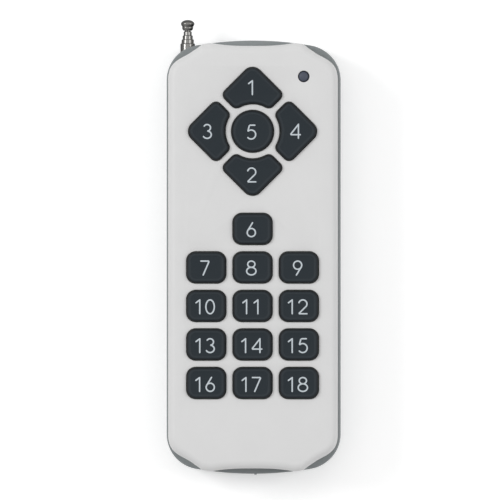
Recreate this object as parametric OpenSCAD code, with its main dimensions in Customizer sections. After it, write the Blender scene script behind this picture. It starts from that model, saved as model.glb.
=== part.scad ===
// Hand-held radio remote control: a two-part plastic case with eighteen rubber keys, a telescopic
// antenna at the upper left corner, a signal lamp, a circuit board and a block battery in the back.
// It lies on its back. X is to the right, Y towards the antenna's end, Z up through the key face.
// The origin is the middle of the flat back, and all lengths are in millimetres.

/* [Case] */
// Length of the case
case_l = 135; // [118:1:160]
// Width of the case
case_w = 54; // [48:0.5:64]
// Height of the key face above the back
case_h = 27; // [23:0.5:32]
// Height of the front cover, from the seam to the key face
cover_depth = 10; // [8:0.5:11]
// Thickness of the side walls
wall = 2; // [1.6:0.1:2.1]
// Thickness of the rear shell's floor
floor_t = 2.8; // [2.7:0.1:3.4]
// Thickness of the front cover's face
face_t = 2; // [1.6:0.1:2.4]

/* [Case outline] */
// Radius of the long curve of each end
end_r = 105; // [95:1:130]
// Radius of the case's corners in plan
corner_r = 10.9; // [10.5:0.1:11.5]
// Rounding of the edge round the back
back_edge_r = 4; // [3:0.1:4.2]
// Rounding of the edge round the key face
face_edge_r = 2.6; // [1.5:0.1:3]
// Rounding of the rear shell's upper rim
rim_r = 0.5; // [0.2:0.1:0.8]
// Width of the rear shell's band that shows beside the cover
side_band = 0.66; // [0.6:0.01:1.2]
// Depth of the cover's shallow dip at the middle of each end
end_dip = 1.76; // [1.2:0.01:2.4]
// Depth of the cover's scallop at each corner
corner_dip = 2; // [1.4:0.05:2.5]

/* [Keys] */
// Distance of the outer key columns' edges from the case's sides
key_side = 6.55; // [5.8:0.05:7.5]
// Distance of the lowest key row from the lower end, as a share of the case's length
key_low_share = 0.21; // [0.18:0.005:0.24]
// Gap between two keys of a row
key_column_gap = 2.3; // [1.5:0.1:3.5]
// Gap between two key rows
key_row_gap = 2.3; // [1.5:0.05:3]
// Gap between the pad's lowest tip and the key below it
pad_key_gap = 5.65; // [3:0.05:7]
// Corner radius of a grid key in plan
key_corner_r = 2.8; // [1.5:0.1:4]
// Rounding of every key's upper edge
key_edge_r = 0.9; // [0.4:0.1:1.1]
// Height of the key tops above the face
key_proud = 1.3; // [1:0.1:2]
// Travel of a key when it is pressed
key_travel = 0.7; // [0.4:0.05:0.8]

/* [Direction pad] */
// Distance of the pad's uppermost tip from the upper end
pad_end = 8.5; // [7.5:0.1:10]
// Distance of the pad's side tips from the case's sides, before they are rounded
pad_side = 5.85; // [5.5:0.05:8]
// Width of the bars between the pad's keys
pad_bar = 2.2; // [1.4:0.02:2.4]
// Radius of the round hollow in the pad's outer keys
pad_ring_r = 8.6; // [8:0.05:9]
// Rounding of the pad's four tips
pad_tip_r = 3.1; // [2:0.1:4]
// Rounding of the other corners of the pad's keys
pad_side_r = 1.8; // [1.2:0.05:2]
// Diameter of the round key in the pad's middle
round_key_d = 13; // [11:0.1:13.6]

/* [Signal lamp] */
// Diameter of the lamp's lens
lamp_d = 3.2; // [2.6:0.1:3.6]
// Distance of the lamp from the right side of the case
lamp_side = 11.1; // [10.8:0.1:11.5]
// Distance of the lamp from the upper end
lamp_end = 11.3; // [10.8:0.1:12]

/* [Antenna] */
// Distance of the antenna's axis from the left side of the case
antenna_side = 6.4; // [6:0.1:7]
// Distance of the antenna's axis below the seam
antenna_drop = 5; // [4:0.5:7]
// Length of the outer sleeve
sleeve_l = 62.3; // [56:0.1:64]
// Distance of the sleeve's mouth below the level of the case's end
sleeve_setback = 0.8; // [0.6:0.1:2]
// Outer diameter of the sleeve
sleeve_d = 4.6; // [4.5:0.05:4.9]
// Outer diameter of the first moving section
section_1_d = 3.85; // [3.8:0.05:3.9]
// Outer diameter of the second moving section
section_2_d = 3.2; // [3.15:0.05:3.25]
// Outer diameter of the third moving section
section_3_d = 2.55; // [2.5:0.05:2.6]
// Diameter of the tip's rod
rod_d = 1.85; // [1.7:0.05:1.9]
// Wall thickness of every tube
tube_wall = 0.2; // [0.18:0.01:0.22]
// Length of each section that shows above the one before it
section_step = 1.25; // [0.8:0.05:2]
// Diameter of the knob on the tip
knob_d = 4.3; // [3.6:0.1:4.6]
// Length of the knob on the tip
knob_l = 3.4; // [3:0.1:5]

/* [Battery] */
// Width of the block battery
battery_w = 26.5; // [25.5:0.1:26.8]
// Length of the block battery without its terminals
battery_l = 46.4; // [44:0.1:47.5]
// Distance between the battery's two terminals
terminal_pitch = 12.7; // [12.3:0.1:13.2]
// Length of the battery's terminals
terminal_l = 2.4; // [2:0.1:2.8]

/* [Battery door] */
// Thickness of the battery door
door_t = 1.8; // [1.6:0.1:2]
// Width of the tongue along each side of the door
tongue_w = 0.9; // [0.6:0.1:1.1]
// Diameter of the thumb recess in the door
thumb_d = 14; // [10:0.5:16]

/* [Board and key mat] */
// Thickness of the circuit board
board_t = 1.2; // [0.8:0.1:1.6]
// Thickness of the rubber key mat's sheet
mat_t = 1.2; // [1:0.1:1.6]
// Thickness of the carbon pill under each key
pill_t = 0.4; // [0.3:0.05:0.6]
// Diameter of the carbon pill under each key
pill_d = 5; // [3.6:0.1:5.2]

/* [Fasteners] */
// Diameter of the case screws' shanks
screw_d = 2.4; // [2:0.1:2.6]
// Diameter of the case screws' heads
screw_head_d = 4.2; // [3.8:0.1:4.4]
// Distance of the lower case screws from the case's sides
screw_side = 6.7; // [6.6:0.1:7]
// Distance of the lower case screws from the lower end
screw_low = 11.5; // [11:0.1:13]
// Distance of the upper case screws from the case's sides
screw_high_side = 16; // [15.7:0.1:16.5]
// Distance of the upper case screws from the upper end
screw_high = 7.3; // [7.1:0.1:7.6]

/* [Clearances] */
// Gap between a key and its opening in the cover
key_gap = 0.2; // [0.1:0.05:0.35]
// Gap between a key and its opening in the mat
mat_gap = 0.35; // [0.25:0.05:0.4]
// Gap round the battery door and its tongues
door_gap = 0.2; // [0.15:0.05:0.25]
// Gap round the battery in its bay
battery_gap = 0.3; // [0.2:0.05:0.4]
// Gap between the battery bay's ceiling and the circuit board
bay_clear = 1.1; // [0.5:0.1:2]
// Radial gap between one antenna tube and the next
run_gap = 0.05; // [0.03:0.01:0.06]
// Gap that keeps any two other pieces apart
fit_gap = 0.1; // [0.05:0.01:0.15]

/* [Hidden] */
$fn = 48;
// How far a cut runs past what it cuts, and how deep a piece is sunk into the one it grows from
overrun = 0.5;
sink = 0.4;

// Colours
cover_color = [0.84, 0.84, 0.84];
shell_color = [0.53, 0.53, 0.55];
key_color = [0.19, 0.21, 0.23];
carbon_color = [0.08, 0.08, 0.08];
chrome_color = [0.80, 0.80, 0.82];
steel_color = [0.66, 0.67, 0.69];
brass_color = [0.79, 0.64, 0.32];
board_color = [0.10, 0.36, 0.20];
lens_color = [0.32, 0.34, 0.38];

// Heights of the stack that hangs from the face
seam_z = case_h - cover_depth;
antenna_z = seam_z - antenna_drop;
face_under = case_h - face_t;
mat_top_gap = 0.2;
mat_top = face_under - mat_top_gap;
board_top = mat_top - mat_t;
board_under = board_top - board_t;
contact_t = 0.05;
pill_rest_gap = 0.15;
pill_under = board_top + contact_t + key_travel + pill_rest_gap;
pill_proud = 0.15;
key_under = pill_under + pill_proud;
key_h = case_h + key_proud - key_under;

// Plan of the case: a quarter of its outline is half an end, then a corner
end_cy = case_l / 2 - end_r;
corner_x = case_w / 2 - corner_r;
turn = asin(corner_x / (end_r - corner_r));
corner_y = end_cy + (end_r - corner_r) * cos(turn);
end_run = end_r * turn * PI / 180;
quarter_run = end_run + corner_r * (90 - turn) * PI / 180;
end_steps = 16;
corner_steps = 12;
edge_steps = 5;
quarter_angles = concat(
    [for (i = [0 : end_steps]) turn * i / end_steps],
    [for (i = [1 : corner_steps]) turn + (90 - turn) * i / corner_steps]);

// Where the cover's edge meets the case's outline, as shares of the quarter's length
dip_end_share = 0.395;
scallop_start_share = 0.474;
scallop_peak_share = 0.655;
scallop_end_share = 0.905;
// How flat the dip is at the middle of the end
dip_power = 2.4;

function smooth(t) = t * t * (3 - 2 * t);
function outline_run(a) =
    a <= turn ? end_r * a * PI / 180 : end_run + corner_r * (a - turn) * PI / 180;
// How far the cover's edge lies inside the case's outline at a share of the quarter
function cover_inset(share) =
    share < dip_end_share ? end_dip * (1 - pow(share / dip_end_share, dip_power))
    : share < scallop_start_share ? 0
    : share < scallop_peak_share
        ? let (rise = (share - scallop_start_share) / (scallop_peak_share - scallop_start_share))
          corner_dip * rise * (2 - rise)
    : share < scallop_end_share
        ? let (fall = (share - scallop_peak_share) / (scallop_end_share - scallop_peak_share))
          corner_dip - (corner_dip - side_band) * smooth(fall)
    : side_band;
function quarter_point(a, inset, z) =
    a <= turn
        ? [(end_r - inset) * sin(a), end_cy + (end_r - inset) * cos(a), z]
        : [corner_x + (corner_r - inset) * sin(a), corner_y + (corner_r - inset) * cos(a), z];
// One closed ring of points: follow is 1 on the cover's edge and 0 on the case's plain outline
function ring(z, inset, follow) =
    let (q = [for (a = quarter_angles)
                 quarter_point(a, inset + follow * cover_inset(outline_run(a) / quarter_run), z)],
         last = len(q) - 1)
    concat(
        q,
        [for (i = [last : -1 : 0]) [q[i].x, -q[i].y, z]],
        [for (i = [1 : last]) [-q[i].x, -q[i].y, z]],
        [for (i = [last : -1 : 1]) [-q[i].x, q[i].y, z]]);
function flat(points) = [for (p = points) [p.x, p.y]];

// A closed skin through rings of equally many points, from its first cap to its last
module skin(rings) {
    n = len(rings[0]);
    last = len(rings) - 1;
    polyhedron(
        points = [for (r = rings) each r],
        faces = concat(
            [[for (i = [n - 1 : -1 : 0]) i]],
            [for (j = [0 : last - 1], i = [0 : n - 1]) each
                let (a = j * n + i, b = j * n + (i + 1) % n)
                [[a, b, b + n], [a, b + n, a + n]]],
            [[for (i = [0 : n - 1]) last * n + i]]));
}

// Places of the keys: the pad's centre, and a grid whose rows count up from the lower end. The
// columns fill the width, and the rows what the pad leaves, with the single key above as one more
grid_columns = 3;
grid_rows = 4;
first_grid_key = 7;
pad_reach = case_w / 2 - pad_side;
pad_tip = pad_reach - (sqrt(2) - 1) * pad_tip_r;
pad_y = case_l / 2 - pad_end - pad_tip;
key_low_y = (key_low_share - 1 / 2) * case_l;
key_pitch_x = (case_w / 2 - key_side + key_column_gap / 2) / (grid_columns / 2);
key_pitch_y = (pad_y - pad_tip - pad_key_gap + key_row_gap / 2 - key_low_y) / (grid_rows + 1 / 2);
key_w = key_pitch_x - key_column_gap;
key_l = key_pitch_y - key_row_gap;
function grid_place(column, row) = [(column - 1) * key_pitch_x, key_low_y + row * key_pitch_y];
function key_place(n) =
    n <= 5 ? [0, pad_y]
    : n == 6 ? grid_place(1, grid_rows)
    : grid_place((n - first_grid_key) % grid_columns,
                 grid_rows - 1 - floor((n - first_grid_key) / grid_columns));
// Which way the pad's outer keys point: up, down, left and right
pad_turns = [0, 180, 90, -90];
pad_key_mid = (pad_ring_r + pad_reach) / 2 - pad_side_r / 2;
function turned(p, a) = [p.x * cos(a) - p.y * sin(a), p.x * sin(a) + p.y * cos(a)];
function pill_place(n) =
    n < 5 ? key_place(n) + turned([0, pad_key_mid], pad_turns[n - 1]) : key_place(n);

// A flat rectangle with round corners
module rounded_rect(w, l, r) {
    square([w - 2 * r, l], center = true);
    square([w, l - 2 * r], center = true);
    for (x = [-1, 1], y = [-1, 1])
        translate([x * (w / 2 - r), y * (l / 2 - r)])
            circle(r);
}

// A bar along Y that stands on the XY plane and has its two upper edges rounded
module soft_bar(w, l, h, r) {
    rotate([90, 0, 0])
        linear_extrude(l, center = true) {
            translate([-w / 2, 0])
                square([w, h - r]);
            translate([r - w / 2, 0])
                square([w - 2 * r, h]);
            for (s = [-1, 1])
                translate([s * (w / 2 - r), h - r])
                    circle(r);
        }
}

// What rounding takes off a square corner whose point is at the origin and faces +X and +Y
module corner_bit(r) {
    difference() {
        translate([-r, -r])
            square(r + overrun);
        translate([-r, -r])
            circle(r);
    }
}

// How far two arcs that run into each other overlap, so that they cross at a clear point
arc_overlap = 0.02;

// Outline of one outer pad key, its tip on the diagonal between +X and +Y; grow widens it all round
module pad_outline(grow) {
    low = pad_bar / 2 - grow;
    high = pad_reach / sqrt(2) + grow;
    ring_r = pad_ring_r - grow;
    tip_r = pad_tip_r + grow;
    side_r = pad_side_r + grow;
    round_y = sqrt(pow(ring_r + side_r - arc_overlap, 2) - pow(low + side_r, 2));
    difference() {
        translate([low, low])
            square(high - low);
        circle(ring_r);
        translate([high, high])
            corner_bit(tip_r);
        for (m = [0, 1])
            mirror([m, -m]) {
                translate([low, high])
                    mirror([1, 0])
                        corner_bit(side_r);
                difference() {
                    polygon([[low - overrun, round_y], [low + side_r, round_y],
                             [low + side_r, round_y] / 2, [low - overrun, round_y / 2]]);
                    translate([low + side_r, round_y])
                        circle(side_r);
                }
            }
    }
}

// Outline of key n in the XY plane, widened all round by grow
module key_outline(n, grow) {
    translate(key_place(n))
        if (n < 5)
            rotate([0, 0, pad_turns[n - 1] + 45])
                pad_outline(grow);
        else if (n == 5)
            circle(round_key_d / 2 + grow);
        else
            rounded_rect(key_w + 2 * grow, key_l + 2 * grow, key_corner_r + grow);
}

module grid_key_body() {
    intersection() {
        linear_extrude(key_h)
            rounded_rect(key_w, key_l, key_corner_r);
        soft_bar(key_w, key_l + overrun, key_h, key_edge_r);
        rotate([0, 0, 90])
            soft_bar(key_l, key_w + overrun, key_h, key_edge_r);
    }
}

module round_key_body() {
    r = round_key_d / 2;
    rotate_extrude() {
        square([r, key_h - key_edge_r]);
        square([r - key_edge_r, key_h]);
        translate([r - key_edge_r, key_h - key_edge_r])
            circle(key_edge_r);
    }
}

module pad_key_body() {
    low = pad_bar / 2;
    high = pad_reach / sqrt(2);
    middle = (low + high) / 2;
    rotate([0, 0, 45])
        difference() {
            intersection() {
                linear_extrude(key_h)
                    pad_outline(0);
                for (a = [0, 90])
                    translate([middle, middle, 0])
                        rotate([0, 0, a])
                            soft_bar(high - low, high, key_h, key_edge_r);
            }
            rotate_extrude()
                difference() {
                    translate([0, key_h - key_edge_r])
                        square([pad_ring_r + key_edge_r, key_edge_r + overrun]);
                    translate([pad_ring_r + key_edge_r, key_h - key_edge_r])
                        circle(key_edge_r);
                }
        }
}

// One rubber key, hollowed underneath for its carbon pill
module key(n) {
    color(key_color)
        difference() {
            translate(concat(key_place(n), key_under))
                if (n < 5)
                    rotate([0, 0, pad_turns[n - 1]])
                        pad_key_body();
                else if (n == 5)
                    round_key_body();
                else
                    grid_key_body();
            translate(concat(pill_place(n), pill_under - overrun))
                cylinder(d = pill_d + 2 * run_gap, h = pill_t + overrun);
        }
}

module pill(n) {
    color(carbon_color)
        translate(concat(pill_place(n), pill_under))
            cylinder(d = pill_d, h = pill_t);
}

// Plan sizes of the board and of the mat on it
board_gap = 0.65;
board_w = case_w - 2 * (side_band + wall + board_gap);
board_l = case_l - 2 * (end_dip + wall + board_gap);
board_corner_r = corner_r + corner_dip;
boss_gap = 0.3;
mat_inset = 0.8;
mat_w = board_w - 2 * mat_inset;
mat_l = board_l - 2 * mat_inset;

// The rubber sheet that the keys are moulded in
module keypad_mat() {
    color(key_color)
        translate([0, 0, board_top])
            linear_extrude(mat_t)
                difference() {
                    rounded_rect(mat_w, mat_l, board_corner_r - mat_inset);
                    for (n = [1 : 18])
                        key_outline(n, mat_gap);
                    translate(lamp_place)
                        circle(lens_flange_d / 2 + fit_gap);
                    for (p = screw_places)
                        translate(p)
                            circle(cover_boss_d / 2 + boss_gap);
                }
}

// The circuit board, cut round the cover's screw bosses
module circuit_board() {
    color(board_color)
        translate([0, 0, board_under])
            linear_extrude(board_t)
                difference() {
                    rounded_rect(board_w, board_l, board_corner_r);
                    for (p = screw_places)
                        translate(p)
                            circle(cover_boss_d / 2 + boss_gap);
                }
}

// Under each key the board has a round contact in two halves
contact_margin = 0.15;
contact_slot = 0.5;
module contact_pads() {
    color(brass_color)
        for (n = [1 : 18])
            translate(concat(pill_place(n), board_top))
                difference() {
                    cylinder(d = pill_d + 2 * contact_margin, h = contact_t);
                    translate([0, 0, contact_t / 2])
                        cube([pill_d + 2 * overrun, contact_slot, contact_t + overrun], center = true);
                }
}

// Signal lamp: a lens in the cover over a small light on the board
lamp_place = [case_w / 2 - lamp_side, case_l / 2 - lamp_end];
lamp_sink = 0.25;
lens_flange_w = 0.5;
lens_flange_d = lamp_d + 2 * lens_flange_w;
lens_flange_t = 0.5;
lens_flange_top = face_under - fit_gap;
module led_lens() {
    color(lens_color)
        translate(concat(lamp_place, 0)) {
            translate([0, 0, lens_flange_top - lens_flange_t])
                cylinder(d = lens_flange_d, h = lens_flange_t);
            translate([0, 0, lens_flange_top - lens_flange_t])
                cylinder(d = lamp_d, h = case_h - lamp_sink - lens_flange_top + lens_flange_t);
        }
}

led_w = 2;
led_l = 1.25;
led_h = lens_flange_top - lens_flange_t - board_top - fit_gap;
module indicator_led() {
    color("white")
        translate(concat(lamp_place, board_top + led_h / 2))
            cube([led_w, led_l, led_h], center = true);
}

// Screws and the bosses that they join
screw_places = [
    [-(case_w / 2 - screw_side), screw_low - case_l / 2],
    [case_w / 2 - screw_side, screw_low - case_l / 2],
    [-(case_w / 2 - screw_high_side), case_l / 2 - screw_high],
    [case_w / 2 - screw_high_side, case_l / 2 - screw_high]];
cover_boss_d = 5.2;
head_gap = 0.35;
boss_wall = 1.2;
shell_boss_d = screw_head_d + 2 * (head_gap + boss_wall);
seat_depth = 7;
screw_seat_z = seam_z - seat_depth;
head_t = 1.6;
screw_end_gap = 1;
screw_top = face_under - screw_end_gap;
slot_w = 0.7;
slot_depth = 0.9;
slot_share = 0.62;
module case_screws() {
    color(steel_color)
        for (p = screw_places)
            translate(concat(p, screw_seat_z - head_t))
                screw(screw_head_d, head_t, screw_d, screw_top - screw_seat_z);
}

// A screw with its head at the bottom, standing on the origin, with a cross slot underneath
module screw(head, head_height, shank, shank_length) {
    difference() {
        union() {
            cylinder(d = head, h = head_height);
            cylinder(d = shank, h = head_height + shank_length);
        }
        for (a = [0, 90])
            rotate([0, 0, a])
                cube([head * slot_share, slot_w, 2 * slot_depth], center = true);
    }
}

// The light front cover with its key openings
module front_cover() {
    boss_h = face_under - seam_z + sink;
    color(cover_color)
        difference() {
            union() {
                skin(concat(
                    [ring(face_under, wall, 1), ring(seam_z, wall, 1), ring(seam_z, 0, 1)],
                    [for (i = [0 : edge_steps])
                        let (a = 90 * i / edge_steps)
                        ring(case_h - face_edge_r * (1 - sin(a)), face_edge_r * (1 - cos(a)), 1)]));
                for (p = screw_places)
                    translate(concat(p, seam_z))
                        cylinder(d = cover_boss_d, h = boss_h);
            }
            translate([0, 0, face_under - overrun])
                linear_extrude(face_t + 2 * overrun)
                    for (n = [1 : 18])
                        key_outline(n, key_gap);
            translate(concat(lamp_place, face_under - overrun))
                cylinder(d = lamp_d + 2 * fit_gap, h = face_t + 2 * overrun);
            for (p = screw_places)
                translate(concat(p, seam_z - overrun))
                    cylinder(d = screw_d + 2 * run_gap, h = screw_top - seam_z + 2 * overrun);
        }
}

// Battery bay: walls and a ceiling round the battery, open to the back over the door. The battery
// is as thick as the door, the bay's ceiling and the board leave room for
battery_z = door_t + battery_gap;
bay_wall = 1.2;
bay_margin = 7.1;
bay_low_y = bay_margin - case_l / 2;
battery_low_y = bay_low_y + battery_gap;
connector_room = 6;
bay_high_y = battery_low_y + battery_l + terminal_l + connector_room;
bay_half_w = battery_w / 2 + battery_gap;
ceiling_t = 0.8;
pad_t = 0.8;
bay_ceiling_z = board_under - bay_clear - ceiling_t;
battery_t = bay_ceiling_z - fit_gap - pad_t - battery_z;
module bay_outside() {
    translate([-bay_half_w - bay_wall, bay_low_y - bay_wall, floor_t - sink])
        cube([2 * (bay_half_w + bay_wall), bay_high_y - bay_low_y + 2 * bay_wall,
              bay_ceiling_z + ceiling_t - floor_t + sink]);
}
module bay_inside() {
    translate([-bay_half_w, bay_low_y, 0])
        cube([2 * bay_half_w, bay_high_y - bay_low_y, bay_ceiling_z]);
}

// Battery door: a plate that slides out at the lower end, guided by a tongue along each side
door_lap = 1.9;
door_half_w = bay_half_w + door_lap;
door_high_y = bay_high_y + bay_wall;
tongue_z = door_t / 2;
door_reach = case_l;
module door_plan(grow) {
    translate([-door_half_w - grow, door_high_y + grow - door_reach])
        square([2 * (door_half_w + grow), door_reach]);
}
// What the door fills, widened all round by grow
module door_space(grow) {
    translate([0, 0, -overrun])
        linear_extrude(door_t + grow + overrun)
            door_plan(grow);
    translate([0, 0, tongue_z - grow])
        linear_extrude(door_t - tongue_z + 2 * grow)
            door_plan(tongue_w + grow);
}
// The flat back and rounded lower end of the case, as one turned disc
module lower_end() {
    translate([0, -end_cy, 0])
        rotate_extrude($fn = 180) {
            square([end_r - back_edge_r, back_edge_r]);
            intersection() {
                translate([end_r - back_edge_r, back_edge_r])
                    circle(back_edge_r);
                translate([end_r - back_edge_r, 0])
                    square(back_edge_r);
            }
        }
}

thumb_margin = 3;
thumb_y = door_high_y - thumb_d / 2 - thumb_margin;
thumb_depth = 0.7;
thumb_rib = 0.8;
thumb_rib_pitch = 2;
thumb_ribs = 5;
thumb_rib_sink = 0.2;
module thumb_recess() {
    difference() {
        translate([0, thumb_y, -overrun])
            cylinder(d = thumb_d, h = thumb_depth + overrun);
        for (i = [0 : thumb_ribs - 1])
            translate([-thumb_d / 2, thumb_y + (i - (thumb_ribs - 1) / 2) * thumb_rib_pitch - thumb_rib / 2,
                       thumb_rib_sink])
                cube([thumb_d, thumb_rib, thumb_depth]);
    }
}

module battery_door() {
    color(shell_color)
        difference() {
            intersection() {
                lower_end();
                door_space(0);
            }
            thumb_recess();
        }
}

// Antenna: a fixed sleeve, three moving tubes and a rod with a knob
antenna_x = antenna_side - case_w / 2;
sleeve_top = case_l / 2 - sleeve_setback;
sleeve_low = sleeve_top - sleeve_l;
plug_l = 3;
base_step = 0.6;
crimp_l = 1.5;
collar_l = 2;
section_diameters = [sleeve_d, section_1_d, section_2_d, section_3_d, rod_d];
function section_top(i) = sleeve_top + i * section_step;
function section_low(i) = i == 0 ? sleeve_low : sleeve_low + plug_l + i * base_step;
function bore_d(i) = section_diameters[i] - 2 * tube_wall;

// Turns what stands along Z into the antenna's line along Y
module along_antenna() {
    translate([antenna_x, 0, antenna_z])
        rotate([-90, 0, 0])
            children();
}

// The outside of section i, with the collar at its foot that keeps it in the tube before it
module section_outside(i) {
    translate([0, 0, section_low(i)])
        cylinder(d = section_diameters[i], h = section_top(i) - section_low(i));
    if (i > 0)
        translate([0, 0, section_low(i)])
            cylinder(d = bore_d(i - 1) - 2 * run_gap, h = collar_l);
}

// Tube i: a plain bore that narrows at its mouth to the next section's size
module antenna_tube(i) {
    color(chrome_color)
        along_antenna()
            difference() {
                section_outside(i);
                translate([0, 0, section_low(i) - overrun])
                    cylinder(d = bore_d(i), h = section_top(i) - section_low(i) - crimp_l + overrun);
                translate([0, 0, section_low(i)])
                    cylinder(d = section_diameters[i + 1] + 2 * run_gap,
                             h = section_top(i) - section_low(i) + overrun);
            }
}

knob_gap = 0.2;
knob_edge_r = 0.7;
knob_head_share = 0.6;
knob_neck_share = 0.76;
module antenna_tip() {
    knob_low = section_top(3) + knob_gap;
    head_l = knob_l * knob_head_share;
    color(chrome_color)
        along_antenna() {
            translate([0, 0, section_low(4)])
                cylinder(d = rod_d, h = knob_low - section_low(4) + sink);
            translate([0, 0, section_low(4)])
                cylinder(d = bore_d(3) - 2 * run_gap, h = collar_l);
            translate([0, 0, knob_low])
                cylinder(d = knob_d * knob_neck_share, h = knob_l - head_l + sink);
            translate([0, 0, knob_low + knob_l - head_l])
                rotate_extrude() {
                    square([knob_d / 2 - knob_edge_r, head_l]);
                    translate([0, knob_edge_r])
                        square([knob_d / 2, head_l - 2 * knob_edge_r]);
                    for (z = [knob_edge_r, head_l - knob_edge_r])
                        translate([knob_d / 2 - knob_edge_r, z])
                            circle(knob_edge_r);
                }
        }
}

// The clip closes the sleeve's foot, is screwed to the shell and rises to the board
clip_w = 4;
clip_t = 0.8;
clip_l = 7.5;
clip_screw_y = sleeve_low - clip_l / 2;
clip_screw_d = 2;
clip_head_d = 3.6;
clip_head_t = 1.2;
clip_screw_l = 6;
clip_hole_gap = 0.15;
module antenna_clip() {
    color(steel_color)
        difference() {
            union() {
                along_antenna()
                    translate([0, 0, sleeve_low])
                        cylinder(d = bore_d(0) - 2 * run_gap, h = plug_l);
                translate([antenna_x - clip_w / 2, sleeve_low - clip_l, antenna_z - clip_t / 2])
                    cube([clip_w, clip_l + sink, clip_t]);
                translate([antenna_x - clip_w / 2, sleeve_low - clip_l, antenna_z - clip_t / 2])
                    cube([clip_w, clip_t, board_under - antenna_z + clip_t / 2]);
            }
            translate([antenna_x, clip_screw_y, antenna_z - clip_t])
                cylinder(d = clip_screw_d + 2 * clip_hole_gap, h = 2 * clip_t);
        }
}
module antenna_screw() {
    color(steel_color)
        translate([antenna_x, clip_screw_y, antenna_z + clip_t / 2 + clip_head_t])
            mirror([0, 0, 1])
                screw(clip_head_d, clip_head_t, clip_screw_d, clip_screw_l);
}

// The rear shell's carriers: screw bosses, board posts, the antenna's boss and two cradles
post_d = 3.4;
post_clear = 1.5;
post_low_share = [0.39, -0.18];
post_high_share = 0.22;
post_places = [
    [post_low_share.x * case_w, post_low_share.y * case_l],
    [-antenna_x - sleeve_d / 2 - post_clear - post_d / 2, post_high_share * case_l]];
cradle_t = 1.6;
cradle_w = 6.6;
cradle_shares = [0.3, 0.72];
antenna_boss_d = 5.2;
module shell_carriers() {
    for (p = screw_places)
        translate(concat(p, floor_t - sink))
            cylinder(d = shell_boss_d, h = seam_z - floor_t + sink - fit_gap);
    for (s = [-1, 1], p = post_places)
        translate([s * p.x, p.y, floor_t - sink])
            cylinder(d = post_d, h = board_under - floor_t + sink);
    translate([antenna_x, clip_screw_y, floor_t - sink])
        cylinder(d = antenna_boss_d, h = antenna_z - clip_t / 2 - floor_t + sink);
    for (share = cradle_shares)
        difference() {
            translate([antenna_x - cradle_w / 2, sleeve_low + share * sleeve_l, floor_t - sink])
                cube([cradle_w, cradle_t, antenna_z - floor_t + sink]);
            along_antenna()
                cylinder(d = sleeve_d + 2 * fit_gap, h = case_l);
        }
}

// The lip on the shell's rim that keeps the cover in line
lip_t = 0.8;
lip_h = 1.2;
lip_root = 1.5;
lip_gap = 0.15;
module lip_band(outer, inner, low, high) {
    translate([0, 0, low])
        linear_extrude(high - low)
            difference() {
                polygon(flat(ring(0, wall + outer, 1)));
                polygon(flat(ring(0, wall + inner, 1)));
            }
}

// A small mould nub in the middle of the lower end
nub_w = 0.8;
nub_x = 0.6;
nub_h = 2.4;
nub_proud = 0.3;

// Blank recessed panel on the back, at a share of the way from the door to the upper end
panel_w = 36;
panel_l = 34;
panel_r = 1.5;
panel_depth = 0.3;
panel_share = 0.406;
panel_y = door_high_y + panel_share * (case_l / 2 - door_high_y);

// Gap in the bay's upper wall for the two leads
lead_gate_w = 14;
lead_gate_low_share = 0.36;
lead_gate_high_share = 0.78;

module rear_shell() {
    color(shell_color)
        difference() {
            union() {
                difference() {
                    union() {
                        skin(concat(
                            [for (i = [0 : edge_steps])
                                let (a = 90 * i / edge_steps)
                                ring(back_edge_r * (1 - cos(a)), back_edge_r * (1 - sin(a)), 0)],
                            [ring(seam_z - rim_r, 0, 0), ring(seam_z, rim_r, 0),
                             ring(seam_z, wall, 1), ring(floor_t, wall, 1)]));
                        bay_outside();
                    }
                    bay_inside();
                    translate([-lead_gate_w / 2, bay_high_y - overrun, lead_gate_low_share * bay_ceiling_z])
                        cube([lead_gate_w, bay_wall + 2 * overrun,
                              (lead_gate_high_share - lead_gate_low_share) * bay_ceiling_z]);
                }
                shell_carriers();
                lip_band(-sink, lip_gap + lip_t, seam_z - lip_root, seam_z);
                lip_band(lip_gap, lip_gap + lip_t, seam_z, seam_z + lip_h);
                translate([nub_x - nub_w / 2, -case_l / 2 - nub_proud, antenna_z])
                    cube([nub_w, nub_proud + sink, nub_h]);
            }
            door_space(door_gap);
            for (p = screw_places) {
                translate(concat(p, -overrun))
                    cylinder(d = screw_head_d + 2 * head_gap, h = screw_seat_z + overrun);
                translate(p)
                    cylinder(d = screw_d + 2 * head_gap, h = seam_z + overrun);
            }
            translate([antenna_x, clip_screw_y, antenna_z - clip_t / 2 - clip_screw_l])
                cylinder(d = clip_screw_d + 2 * run_gap, h = clip_screw_l + overrun);
            along_antenna()
                translate([0, 0, corner_y - corner_r])
                    cylinder(d = sleeve_d + 2 * fit_gap, h = 2 * corner_r + overrun);
            translate([0, panel_y, -overrun])
                linear_extrude(panel_depth + overrun)
                    rounded_rect(panel_w, panel_l, panel_r);
        }
}

// Block battery with its two terminals, and the snap connector on them
battery_edge_r = 2;
battery_mid_z = battery_z + battery_t / 2;
battery_high_y = battery_low_y + battery_l;
stud_d = 5.7;
cup_d = 8.6;
cup_bore_d = 6.4;
module at_terminal(side, y) {
    translate([side * terminal_pitch / 2, y, battery_mid_z])
        rotate([-90, 0, 0])
            children();
}
module cup(h) {
    difference() {
        cylinder(d = cup_d, h = h);
        translate([0, 0, -overrun])
            cylinder(d = cup_bore_d, h = h + 2 * overrun);
    }
}
module battery() {
    color(steel_color) {
        translate([0, battery_high_y, battery_mid_z])
            rotate([90, 0, 0])
                linear_extrude(battery_l)
                    rounded_rect(battery_w, battery_t, battery_edge_r);
        at_terminal(1, battery_high_y - sink)
            cylinder(d = stud_d, h = terminal_l + sink);
        difference() {
            at_terminal(-1, battery_high_y - sink)
                cylinder(d = cup_d, h = terminal_l + sink);
            at_terminal(-1, battery_high_y)
                cylinder(d = cup_bore_d, h = terminal_l + overrun);
        }
    }
}
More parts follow.
